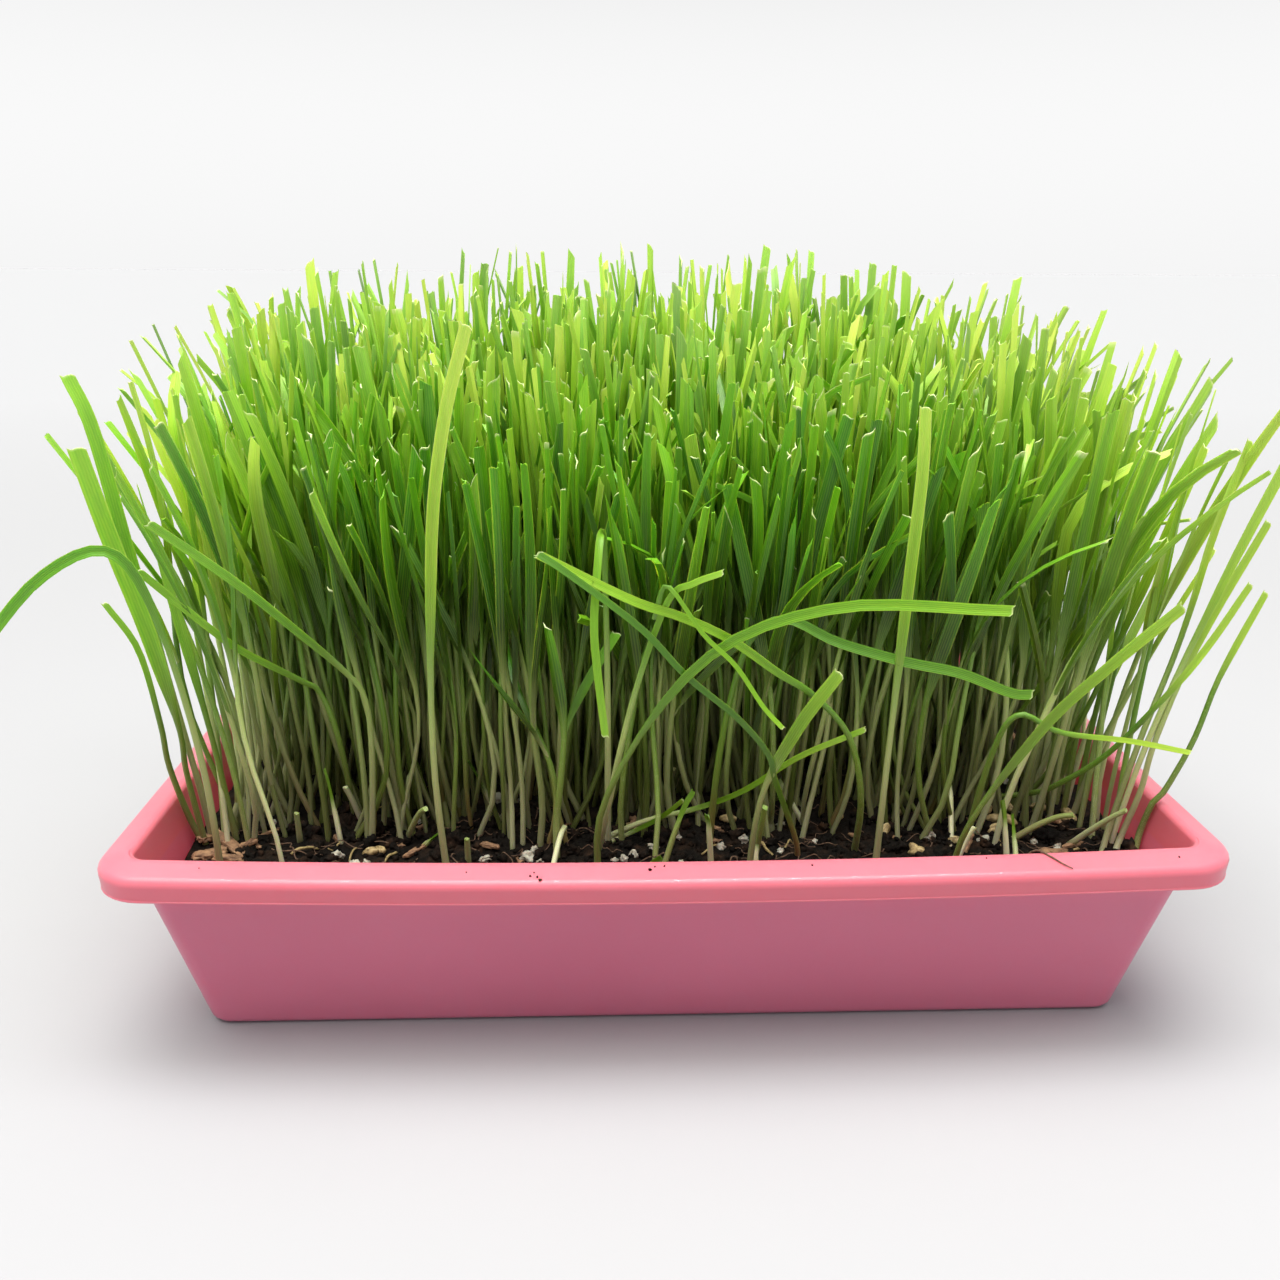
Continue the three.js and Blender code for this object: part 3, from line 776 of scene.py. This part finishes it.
def leaning_blade(bag, points, stem, face, width, mood, light=0.9, twist=0.4, pointed=False, green_cut=0.4,
                  deep=0.0):
    """A blade through points. Face says how far round from the front its broad side is turned."""
    places = held_in(curve_through(points, 4 * len(points)))
    t = distances(places)
    t /= t[-1]
    run = np.gradient(places, axis=0)
    angle = face + twist * (t - 0.5)
    facing = np.stack([np.sin(angle), -np.cos(angle), np.full_like(angle, 0.25)], axis=1)
    across = np.cross(facing, run)
    wide, depth, leafy = widths(t, stem, width, pointed)
    fold = mix(0.75, 0.25, smooth(t, stem, stem + 0.35))
    wide = wide * mix(1, mix(0.62, 1, t), leafy)
    look = dict(mood=mood, slant=0.6, ragged=0.6, pale=1, green_cut=green_cut, deep=deep, front=0)
    # Painted shade along the leaf, from share 0.7 up to light at its tip.
    bag.blade(places, across, wide, depth, leafy, fold, look, max(points[0][2] - SOIL_TOP, 0), (0.7, light))


CAD_LEANING_DEEP, STRAY_DEEP = 0.75, 0.4  # how strongly the stand's painted shade darkens their stems

# Each leaf: its places from root to tip, how much of it is stem, the way it faces, its width, its darkness,
# and how little painted shade its tip has where that isn't usual.
CAD_LEANING = [
    ([(-22, -86, 42), (-20, -89, 78), (6, -104, 126), (42, -110, 144), (91, -110, 143)],
     0.3, 0.1, 3.6, 0.45, 0.85),
    ([(-68, -86, 42), (-71, -88, 93), (-67, -101, 158), (-61, -112, 193), (-54, -114, 218)],
     0.4, 0.3, 3.9, 0.13, 0.99),
    ([(64, -86, 42), (65, -89, 88), (64, -102, 148), (63, -111, 180), (62, -113, 198)],
     0.4, -0.2, 3.7, 0.22, 0.96),
    ([(24, -86, 42), (27, -90, 78), (36, -97, 104), (46, -103, 123)],
     0.45, -0.3, 4.2, 0.28, 0.87),
    ([(-138, -84, 42), (-139, -88, 90), (-142, -103, 141), (-150, -109, 160), (-168, -111, 153),
      (-188, -113, 131)], 0.5, 0.2, 3.3, 0.78, 0.86),
    ([(88, -86, 42), (91, -90, 68), (107, -99, 104), (122, -106, 126), (138, -110, 144)],
     0.3, 0.2, 4.4, 0.3, 0.88),
]
STRAY = [
    ([(14, -64, 45), (16, -76, 90), (22, -86, 126), (32, -90, 135), (47, -93, 129), (66, -96, 124),
      (82, -98, 121), (97, -98, 115), (104, -97, 114)], 0.42, 0.1, 3.4, 0.75, 0.8),
    ([(42, -75, 48), (40, -80, 60), (31, -92, 85), (28, -94, 95), (18, -98, 108), (3, -102, 122),
      (-10, -105, 137), (-29, -105, 152), (-38, -104, 158)], 0.05, 0.0, 2.3, 0.85, 0.82),
    ([(62, -66, 45), (60, -80, 73), (53, -90, 98), (41, -95, 113), (29, -99, 122), (15, -103, 133),
      (1, -104, 140), (-13, -104, 145), (-38, -101, 157)], 0.4, 0.0, 2.9, 0.3, 0.86),
    ([(-23, -66, 45), (-19, -82, 73), (-12, -97, 113), (-3, -104, 144), (4, -106, 150), (12, -106, 153)],
     0.6, 0.0, 2.0, 0.4),
    ([(-6, -102, 139), (-3, -105, 149), (7, -108, 136), (16, -108, 127), (24, -108, 115), (30, -107, 108)],
     0.05, 0.5, 1.8, 0.38, 0.86),
    ([(-19, -62, 45), (-19, -74, 108), (-20, -86, 154), (-21, -94, 161), (-22, -101, 153), (-23, -106, 138),
      (-22, -107, 124), (-20, -107, 106)], 0.5, 0.2, 2.6, 0.42, 0.86),
    ([(-97, -59, 46), (-94, -64, 81), (-94, -68, 103), (-99, -72, 114), (-112, -82, 132), (-124, -90, 147),
      (-143, -97, 165)], 0.42, -0.2, 3.0, 0.62, 0.88),
    ([(-105, -42, 46), (-105, -58, 84), (-109, -62, 103), (-114, -66, 109), (-128, -76, 122),
      (-136, -82, 132), (-150, -90, 150)], 0.45, -0.2, 2.6, 0.5, 0.88),
    ([(104, -31, 46), (113, -36, 53), (119, -44, 57), (125, -52, 62), (129, -60, 68), (138, -76, 86),
      (148, -90, 112), (157, -92, 128), (165, -94, 146)], 0.6, 0.0, 2.7, 0.3),
    ([(98, -66, 45), (99, -82, 88), (103, -90, 105), (116, -92, 100), (136, -94, 98), (155, -94, 94)],
     0.6, 0.0, 1.8, 0.18, 0.88),
    ([(-29, -60, 46), (-8, -63, 58), (9, -66, 64), (24, -72, 73), (40, -80, 88), (58, -88, 100)],
     0.25, 0.0, 2.2, 0.4),
    ([(-27, -62, 46), (-12, -63, 54), (-2, -66, 61), (5, -70, 69)], 0.3, 0.0, 1.8, 0.4),
    ([(-152, -56, 46), (-156, -58, 60), (-158, -64, 80), (-156, -72, 97), (-157, -79, 123), (-163, -84, 139)],
     0.55, 0.2, 2.0, 0.5),
    ([(-151, -58, 46), (-152, -66, 78), (-149, -76, 97), (-149, -90, 130), (-155, -94, 160),
      (-160, -96, 185)], 0.36, 0.1, 5.4, 0.5, 0.9),
    ([(-150, -54, 46), (-150, -60, 67), (-150, -66, 83), (-150, -76, 110), (-155, -82, 151),
      (-160, -84, 188), (-165, -84, 203)], 0.4, 0.4, 4.4, 0.6, 0.91),
    ([(152, -73, 46), (156, -70, 56), (161, -71, 71), (168, -71, 89), (174, -70, 111), (184, -70, 137)],
     0.6, 0.0, 2.8, 0.3),
    ([(145, -74, 46), (149, -70, 54), (152, -73, 72), (153, -76, 91), (160, -80, 125), (173, -84, 162)],
     0.5, 0.1, 3.4, 0.25),
    ([(141, -74, 46), (145, -70, 59), (149, -74, 90), (156, -76, 123), (159, -80, 156), (166, -80, 185)],
     0.5, 0.3, 3.8, 0.15),
]


FRINGE = 25  # loose, narrow leaves at each end of the stand
FRINGE_REACH = {-1: 21, 1: 32}  # how far those at the left and right lean out, for 120 mm of height


def make_fringe(bag):
    """Narrow leaves that stand apart from the others at both ends and cross one another."""
    rng = draws_for("fringe")
    for side in (-1, 1):
        for _ in range(FRINGE):
            root = np.array([side * rng.uniform(134, 150), rng.uniform(-74, 60), SOIL_TOP - ROOT_DEPTH])
            height = rng.uniform(85, 150)
            out = side * rng.uniform(4, FRINGE_REACH[side]) * height / 120
            along = rng.normal(0, 17)
            sag = rng.uniform(-0.12, 0.25)
            points = [root + (out * share ** (1.4 + sag), along * share, height * share)
                      for share in (0, 0.3, 0.65, 1)]
            leaning_blade(bag, points, rng.uniform(0.35, 0.6), rng.normal(0, 0.8), rng.uniform(1.7, 3.8),
                          rng.uniform(0.1, 0.6), rng.uniform(0.8, 1), rng.normal(0, 1), rng.random() < 0.25)


def make_leaning(material):
    for number, leaf in enumerate(CAD_LEANING, 1):
        bag = BladeBag()
        leaning_blade(bag, *leaf, deep=CAD_LEANING_DEEP)
        node = f"leaning_blade_{number:02d}"
        bag.piece(f"leaning_wheatgrass_{number:02d}", material, "fallen_grass", [node])
    bag = BladeBag()
    for leaf in STRAY:
        leaning_blade(bag, *leaf, deep=STRAY_DEEP)
    make_fringe(bag)
    bag.piece("stray_wheatgrass", material, "fallen_grass")
    make_stubs(material)


STUBS = 26


def make_stubs(material):
    """Short stems and scraps of leaf that stand or lie among the feet of the grass."""
    rng = draws_for("stubs")
    bag = BladeBag()
    for _ in range(STUBS):
        x, y = on_soil(rng, 0.7)
        length = rng.uniform(8, 26)
        lean = rng.uniform(0.15, 1.3)
        way = one_way(rng)
        foot = np.array([x, y, SOIL_TOP - 3])
        reach = np.array([*way * length * math.sin(lean), length * math.cos(lean) + 4])
        half_x, half_y = inside_half(SOIL_TOP)
        if abs(x + reach[0]) > half_x - 1 or abs(y + reach[1]) > half_y - 1:
            continue
        bend = np.array([0, 0, rng.uniform(0, 0.12) * length])
        points = [foot, foot + reach * 0.4 + bend, foot + reach * 0.75 + bend, foot + reach]
        leaning_blade(bag, points, rng.uniform(0.4, 1.2), rng.uniform(0, 6.3), rng.uniform(1.5, 2.6),
                      rng.uniform(0.2, 0.7), 0.6, green_cut=1)
    bag.piece("stub_wheatgrass", material, "fallen_grass")


# ---- soil and what lies on it

# How many lie about, besides those with a place of their own.
CRUMBS = 2000
SMALL_PERLITE = 50
SMALL_CHIPS = 34
ROOTS = 150
STRAWS = 24
SMALL_GRAINS = 30


def soil_height(x, y):
    """The CAD's gently lumpy soil."""
    mound = 1.5 * (1 - (x / 160) ** 2) * (1 - (y / 100) ** 2)
    lumps = 1.1 * math.sin(x / 9 + y / 21) * math.cos(y / 13) + 0.4 * math.sin(x / 5.3)
    return SOIL_TOP + mound + lumps - 0.8


def soil_surface(x, y):
    """The same with crumbs and hollows on it."""
    at = Vector((x, y, 0))
    fine = noise.fractal(at / 4.5, 0.8, 2.1, 4)
    clods = max(noise.noise(at / 8 + Vector((7, 3, 1))), 0)
    nearest = noise.voronoi(at / 3.4)[0][0]
    return soil_height(x, y) + 0.9 * fine + 2.2 * clods + 1.5 * max(1 - 1.7 * nearest, 0) - 0.9


def inside_half(height):
    """Half the length, and half the width at the corners, of the space inside the tray."""
    inset = outside_inset(height) + SKIN + SOIL_GAP
    return TRAY_LENGTH / 2 - inset, TRAY_WIDTH / 2 - inset


def make_soil(material):
    """One closed body: the crumbly surface, sides along the tray's walls, and a flat underside."""
    half_x, half_y = inside_half(SOIL_TOP - 2)
    columns, rows = round(2 * half_x / SOIL_STEP), round(2 * half_y / SOIL_STEP)
    corner = INNER_RADIUS
    vertices, flat = [], []
    for j in range(rows + 1):
        for i in range(columns + 1):
            x, y = (2 * i / columns - 1) * half_x, (2 * j / rows - 1) * half_y
            over = Vector((max(abs(x) - half_x + corner, 0), max(abs(y) - half_y + corner, 0)))
            if over.length > corner:
                over = over * (corner / over.length)
                x = math.copysign(half_x - corner + over.x, x)
                y = math.copysign(half_y - corner + over.y, y)
            flat.append((x, y))
            y *= 1 + bulge_at(x, SOIL_TOP) / half_y
            vertices.append((x, y, soil_surface(x, y)))
    grid = np.arange(len(vertices)).reshape(rows + 1, columns + 1)
    faces = cells(grid).reshape(-1, 4).tolist()
    rim = np.concatenate([grid[0], grid[1:, -1], grid[-1, -2::-1], grid[-2:0:-1, 0]]).tolist()
    foot = FLOOR + SOIL_GAP
    low_x, low_y = (half - FOOT_GAP for half in inside_half(foot))
    first = len(vertices)
    for i in rim:
        x, y = flat[i][0] * low_x / half_x, flat[i][1] * low_y / half_y
        vertices.append((x, y * (1 + bulge_at(x, foot) / low_y), foot))
    for k in range(len(rim)):
        following = (k + 1) % len(rim)
        faces.append([rim[following], rim[k], first + k, first + following])
    faces.append(list(range(first, len(vertices)))[::-1])
    mesh_piece("soil_bed", vertices, faces, material, ["potting_soil"])


def ball(subdivisions):
    """Unit places and faces of a ball of triangles."""
    made = bmesh.new()
    bmesh.ops.create_icosphere(made, subdivisions=subdivisions, radius=1)
    places = np.array([v.co[:] for v in made.verts])
    faces = [[v.index for v in f.verts] for f in made.faces]
    made.free()
    return places, faces


def lump(shape, rng, size, rough):
    """A ball pushed out of shape, turned at random and scaled to its size in each direction."""
    places, faces = shape
    offset = Vector(rng.uniform(-50, 50, 3))
    push = np.array([1 + rough * noise.noise(Vector(p) * 1.6 + offset) for p in places])
    turned = Matrix.Rotation(rng.uniform(0, 6.28), 3, Vector(rng.normal(0, 1, 3)))
    made = places * push[:, None] * np.asarray(size)
    return made @ np.array(turned), faces


def on_soil(rng, front_share):
    """A place on the soil, this often in the strip along the front."""
    half_x, half_y = inside_half(SOIL_TOP)
    x = rng.uniform(-half_x + 3, half_x - 3)
    if rng.random() < front_share:
        y = rng.uniform(-half_y + 2, -45)
    else:
        y = rng.uniform(-half_y + 2, half_y - 2)
    return x, y


def lay(bag, thing, x, y, lift):
    """Puts a small thing in the bag, its middle this far above the soil."""
    places, faces = thing
    bag.add(places + (x, y, soil_surface(x, y) + lift), faces)


def make_crumbs(material):
    rng = draws_for("crumbs")
    tiny, small, large = ball(1), ball(2), ball(3)
    bag = Bag()
    for number in range(CRUMBS):
        x, y = on_soil(rng, 0.6)
        if number % 9 == 0:
            shape, radius = large, rng.uniform(1.3, 2.7)
        else:
            shape, radius = (small, rng.uniform(0.7, 1.4)) if number % 3 else (tiny, rng.uniform(0.4, 0.8))
        lay(bag, lump(shape, rng, radius * rng.uniform(0.55, 1.3, 3), 0.8), x, y, radius * 0.3)
    bag.piece("soil_crumbs", material, "soil")


# Where the grains of perlite that stand out lie.
PERLITE = [(-75, -40), (-58, -33), (-51, -31), (-45, -71), (-40, -76), (-4, -68), (18, -67), (26, -62),
           (-14, -76), (-133, -45), (-106, -70), (-96, -73), (-82, -45), (88, -63)]


def make_perlite():
    rng = draws_for("perlite")
    shape = ball(3)
    bag = Bag()
    for x, y in PERLITE + [on_soil(rng, 0.3) for _ in range(SMALL_PERLITE)]:
        radius = rng.uniform(1.2, 2.1) if (x, y) in PERLITE else rng.uniform(0.6, 1.6)
        lay(bag, lump(shape, rng, radius * rng.uniform(0.7, 1.3, 3), 0.9), x, y, radius * 0.4)
    bag.piece("perlite_grains", perlite_material(), "soil")


def chip(shape, rng, size, turn, tilt):
    """A splinter: a boxy ball, split at its ends."""
    places, faces = shape
    boxy = np.sign(places) * np.abs(places) ** 0.55
    offset = Vector(rng.uniform(-50, 50, 3))
    push = np.array([noise.noise(Vector((p[0] * 3, p[1] * 3, p[2])) + offset) for p in boxy])
    boxy[:, 0] += np.sign(boxy[:, 0]) * 0.35 * push
    boxy[:, 1:] *= (1 + 0.5 * push)[:, None]
    laid = Matrix.Rotation(turn, 3, "Z") @ Matrix.Rotation(tilt, 3, "Y")
    return (boxy * size) @ np.array(laid.transposed()), faces


# Each piece of bark: where it lies, half its length, width and thickness, its turn and its tilt.
BARK = [((-142, -62), (9, 2, 1.3), -0.75, 0.12), ((-147, -68), (5, 2.7, 1.2), 0.15, -0.1),
        ((-136, -63), (3, 1.2, 0.8), 0.4, -0.3), ((-140, -72), (5, 1.6, 0.9), -0.2, 0.1),
        ((-151, -58), (3, 2, 1.0), 1.2, 0.2), ((-57, -68), (3, 1, 0.6), -0.3, 0.1),
        ((98, -71), (5, 0.9, 0.8), 0.9, -0.7), ((127, -72), (4.5, 2, 0.8), 0.1, 0.1)]


def make_bark():
    rng = draws_for("bark")
    shape = ball(4)
    material = woody_material("bark_chip", srgb(166, 128, 94), srgb(88, 58, 42), 420)
    bag = Bag()
    for (x, y), size, turn, tilt in BARK:
        lay(bag, chip(shape, rng, size, turn, tilt), x, y, 1.4)
    shape = ball(3)
    for _ in range(SMALL_CHIPS):
        x, y = on_soil(rng, 0.5)
        size = (rng.uniform(1.5, 5), rng.uniform(0.5, 1.4), rng.uniform(0.4, 0.8))
        turn, tilt = rng.uniform(0, 6.3), rng.normal(0, 0.2)
        lay(bag, chip(shape, rng, size, turn, tilt), x, y, 0.6)
    bag.piece("bark_chips", material, "soil")


def tube(bag, points, radii, sides=6):
    """A closed tube through points."""
    points = np.asarray(points)
    run = np.gradient(points, axis=0)
    run /= np.linalg.norm(run, axis=1, keepdims=True)
    side = np.cross(run, (0.05, 0.1, 1.0))
    side /= np.linalg.norm(side, axis=1, keepdims=True)
    up = np.cross(side, run)
    angle = np.arange(sides) * math.tau / sides
    ring = side[:, None] * np.cos(angle)[:, None] + up[:, None] * np.sin(angle)[:, None]
    places = points[:, None] + ring * np.broadcast_to(radii, len(points))[:, None, None]
    bag.add(places.reshape(-1, 3), skin(len(points), sides))


def wandering(rng, x, y, length, bend, count=9):
    """Places along a fibre that wanders over the soil, rising a little between the ends."""
    angle = rng.uniform(0, math.tau)
    places = []
    for step in range(count):
        rise = 0.5 + 1.6 * math.sin(math.pi * step / (count - 1)) * rng.random()
        places.append((x, y, soil_surface(x, y) + rise))
        angle += rng.normal(0, bend)
        x += math.cos(angle) * length / count
        y += math.sin(angle) * length / count
        half_x, half_y = inside_half(SOIL_TOP)
        x, y = np.clip(x, -half_x + 1, half_x - 1), np.clip(y, -half_y + 1, half_y - 1)
    return curve_through(places, 2 * count)


# A dried root that lies over the rim.
RIM_ROOT = [(105, -98, 60), (108, -102.2, 66.5), (111, -106, 66.6), (113.5, -109, 65.9), (116, -111.4, 65.3)]


def make_fibres():
    rng = draws_for("fibres")
    roots, straws = Bag(), Bag()
    for _ in range(ROOTS):
        x, y = on_soil(rng, 0.65)
        tube(roots, wandering(rng, x, y, rng.uniform(7, 24), 0.5), rng.uniform(0.1, 0.24), 5)
    tube(roots, curve_through(RIM_ROOT, 16), np.linspace(0.42, 0.16, 16), 5)
    for _ in range(STRAWS):
        x, y = on_soil(rng, 0.7)
        radius = rng.uniform(0.3, 0.6)
        tube(straws, wandering(rng, x, y, rng.uniform(5, 15), 0.12, 5), radius * np.linspace(1, 0.7, 10))
    roots.piece("root_fibres", woody_material("fine_root", srgb(120, 92, 70), srgb(44, 26, 20), 900), "soil")
    straws.piece("straw_bits", woody_material("straw", srgb(176, 156, 104), srgb(112, 90, 54), 700), "soil")


# Where the wheat grains that stand out lie.
GRAINS = [(81, -72), (113, -45), (121, -42), (118, -53), (111, -58), (142, -42), (140, -48), (114, -50),
          (-34, -58)]


def make_grains():
    rng = draws_for("grains")
    shape = ball(3)
    bag = Bag()
    for x, y in GRAINS + [on_soil(rng, 0.4) for _ in range(SMALL_GRAINS)]:
        places, faces = shape
        crease = 1 - 0.45 * np.exp(-(places[:, 1] / 0.22) ** 2) * (places[:, 2] > 0)
        offset = Vector((x, y, 0))
        wrinkle = np.array([noise.noise(Vector((p[0], p[1] * 3, p[2] * 3)) + offset) for p in places])
        grain = places * np.array([3.1, 1.6, 1.5]) * (1 + 0.14 * wrinkle)[:, None]
        grain[:, 2] *= crease
        turn = Matrix.Rotation(rng.uniform(0, 6.3), 3, "Z") @ Matrix.Rotation(rng.normal(0, 0.3), 3, "Y")
        lay(bag, (grain @ np.array(turn.transposed()), faces), x, y, 1.1)
    bag.piece("wheat_grains", seed_material(), "soil")


# Specks of soil on the rim's sloping top: x, y and radius.
SPECKS = [(-38.7, -113.6, 0.45), (-39.6, -112.4, 0.3), (-41.6, -112, 0.28), (-40.6, -110.6, 0.2),
          (-7.2, -110.2, 0.42), (-5.8, -109, 0.25), (-3, -108.8, 0.25), (-137, -106, 0.22),
          (-60, -110, 0.2), (40, -109, 0.2), (92, -106.5, 0.25), (150, -106, 0.22), (163, -40, 0.3),
          (-163, 20, 0.3), (30, 110, 0.35), (-90, 107, 0.3)]


def rim_top(x, y):
    """Height of the rim's sloping top."""
    outside = min(TRAY_LENGTH / 2 - abs(x), TRAY_WIDTH / 2 + bulge_at(x, TRAY_HEIGHT) - abs(y))
    return TRAY_HEIGHT - RIM_FALL * max(1 - outside / RIM_CREST, 0)


def make_specks(material):
    rng = draws_for("specks")
    shape = ball(2)
    bag = Bag()
    for x, y, radius in SPECKS:
        places, faces = lump(shape, rng, radius * rng.uniform(0.7, 1.5, 3), 0.6)
        bag.add(places + (x, y, rim_top(x, y) + radius * 0.2), faces)
    bag.piece("rim_specks", material, "soil")


# ---- floor, light and camera

# The floor's pale grey, painted paler further away: a painted light that blends it into the sky's glow at the
# horizon.
FLOOR_NEAR = (0.345, 0.345, 0.37, 1)
FLOOR_FAR = (0.389, 0.392, 0.4235, 1)
FLOOR_REACH = 40


def make_floor():
    g = Graph("floor", Roughness=0.9)
    away = g.node("VectorMath", {0: g.place()}, operation="LENGTH").outputs["Value"]
    # Painted light: the floor grows paler further from the middle.
    paler = g.mixed(g.mapped(away, 0.4, 2), FLOOR_NEAR, FLOOR_FAR)
    g.shade("Base Color", paler)
    mesh = bpy.data.meshes.new("floor")
    corners = [(x * FLOOR_REACH, y * FLOOR_REACH, 0) for x, y in ((-1, -1), (1, -1), (1, 1), (-1, 1))]
    mesh.from_pydata(corners, [], [(0, 1, 2, 3)])
    mesh.materials.append(g.material)
    placed("floor", mesh)


SKY = [(0, 0.92), (0.16, 0.92), (0.4, 0.36), (0.7, 1.1), (1, 1.5)]  # height and glow, from the horizon up
SKYLIGHT_TURN = (-3, 7)  # degrees that the big soft light leans to the back and to the side
SKYLIGHT_SPREAD = 55
SKYLIGHT_POWER = 4.05
SKYLIGHT_COLOUR = (1, 0.99, 0.87)


def make_light():
    world = bpy.data.worlds.new("studio")
    world.use_nodes = True
    tree = world.node_tree
    place = tree.nodes.new("ShaderNodeTexCoord")
    split = tree.nodes.new("ShaderNodeSeparateXYZ")
    ramp = tree.nodes.new("ShaderNodeFloatCurve")
    points = ramp.mapping.curves[0].points
    brightest = SKY[-1][1]
    points[0].location = (0, SKY[0][1] / brightest)
    for height, glow in SKY[1:-1]:
        points.new(height, glow / brightest)
    ramp.mapping.update()
    tree.links.new(place.outputs["Generated"], split.inputs["Vector"])
    tree.links.new(split.outputs["Z"], ramp.inputs["Value"])
    background = tree.nodes["Background"]
    tree.links.new(ramp.outputs["Value"], background.inputs["Color"])
    background.inputs["Strength"].default_value = brightest
    bpy.context.scene.world = world

    data = bpy.data.lights.new("skylight", "SUN")
    data.energy = SKYLIGHT_POWER
    data.color = SKYLIGHT_COLOUR
    data.angle = math.radians(SKYLIGHT_SPREAD)
    placed("skylight", data).rotation_euler = [math.radians(-angle) for angle in SKYLIGHT_TURN] + [0]
    make_lamp_row()
    bpy.context.scene.view_settings.view_transform = "Standard"


LAMP_COUNT = 30
LAMP_SPACING = 0.024
LAMP_PLACE = (-0.09, 0.62)  # how far back and how high the row hangs
LAMP_SIZE = (0.005, 0.2)
LAMP_POWER = 0.09


def make_lamp_row():
    """A lamp's row of small lights, which the rim's edge reflects as a fine bright line."""
    rng = draws_for("lamps")
    for number in range(LAMP_COUNT):
        data = bpy.data.lights.new(f"diode_{number:02d}", "AREA")
        data.shape = "RECTANGLE"
        data.size, data.size_y = LAMP_SIZE
        data.energy = LAMP_POWER * rng.uniform(0.3, 1.4)
        lamp = placed(data.name, data)
        lamp.location = ((number - (LAMP_COUNT - 1) / 2) * LAMP_SPACING, *LAMP_PLACE)
        lamp.visible_camera = False


CAMERA_PLACE = (-22.1, -420.3, 232.5)
CAMERA_YAW = 2.14  # degrees, as the next two
CAMERA_PITCH = 17.38
CAMERA_ROLL = 0.33
CAMERA_LENS = 33.75


def make_camera():
    yaw, pitch, roll = (math.radians(a) for a in (CAMERA_YAW, CAMERA_PITCH, CAMERA_ROLL))
    forward = Vector((math.sin(yaw) * math.cos(pitch), math.cos(yaw) * math.cos(pitch), -math.sin(pitch)))
    level = Vector((math.cos(yaw), -math.sin(yaw), 0))
    upright = level.cross(forward)
    right = level * math.cos(roll) + upright * math.sin(roll)
    up = upright * math.cos(roll) - level * math.sin(roll)
    data = bpy.data.cameras.new("camera")
    data.lens = CAMERA_LENS
    data.sensor_width = 36
    data.clip_start = 0.01
    turned = Matrix((right, up, -forward)).transposed().to_4x4()
    camera = placed("camera", data)
    camera.matrix_world = Matrix.Translation(Vector(CAMERA_PLACE) * MM) @ turned
    bpy.context.scene.camera = camera


# ---- the whole scene


make_camera()
make_light()
make_floor()
make_tray()
soil = soil_material()
make_soil(soil)
make_crumbs(soil)
make_specks(soil)
make_perlite()
make_bark()
make_fibres()
make_grains()
grass = grass_material()
make_stand(grass)
make_leaning(grass)
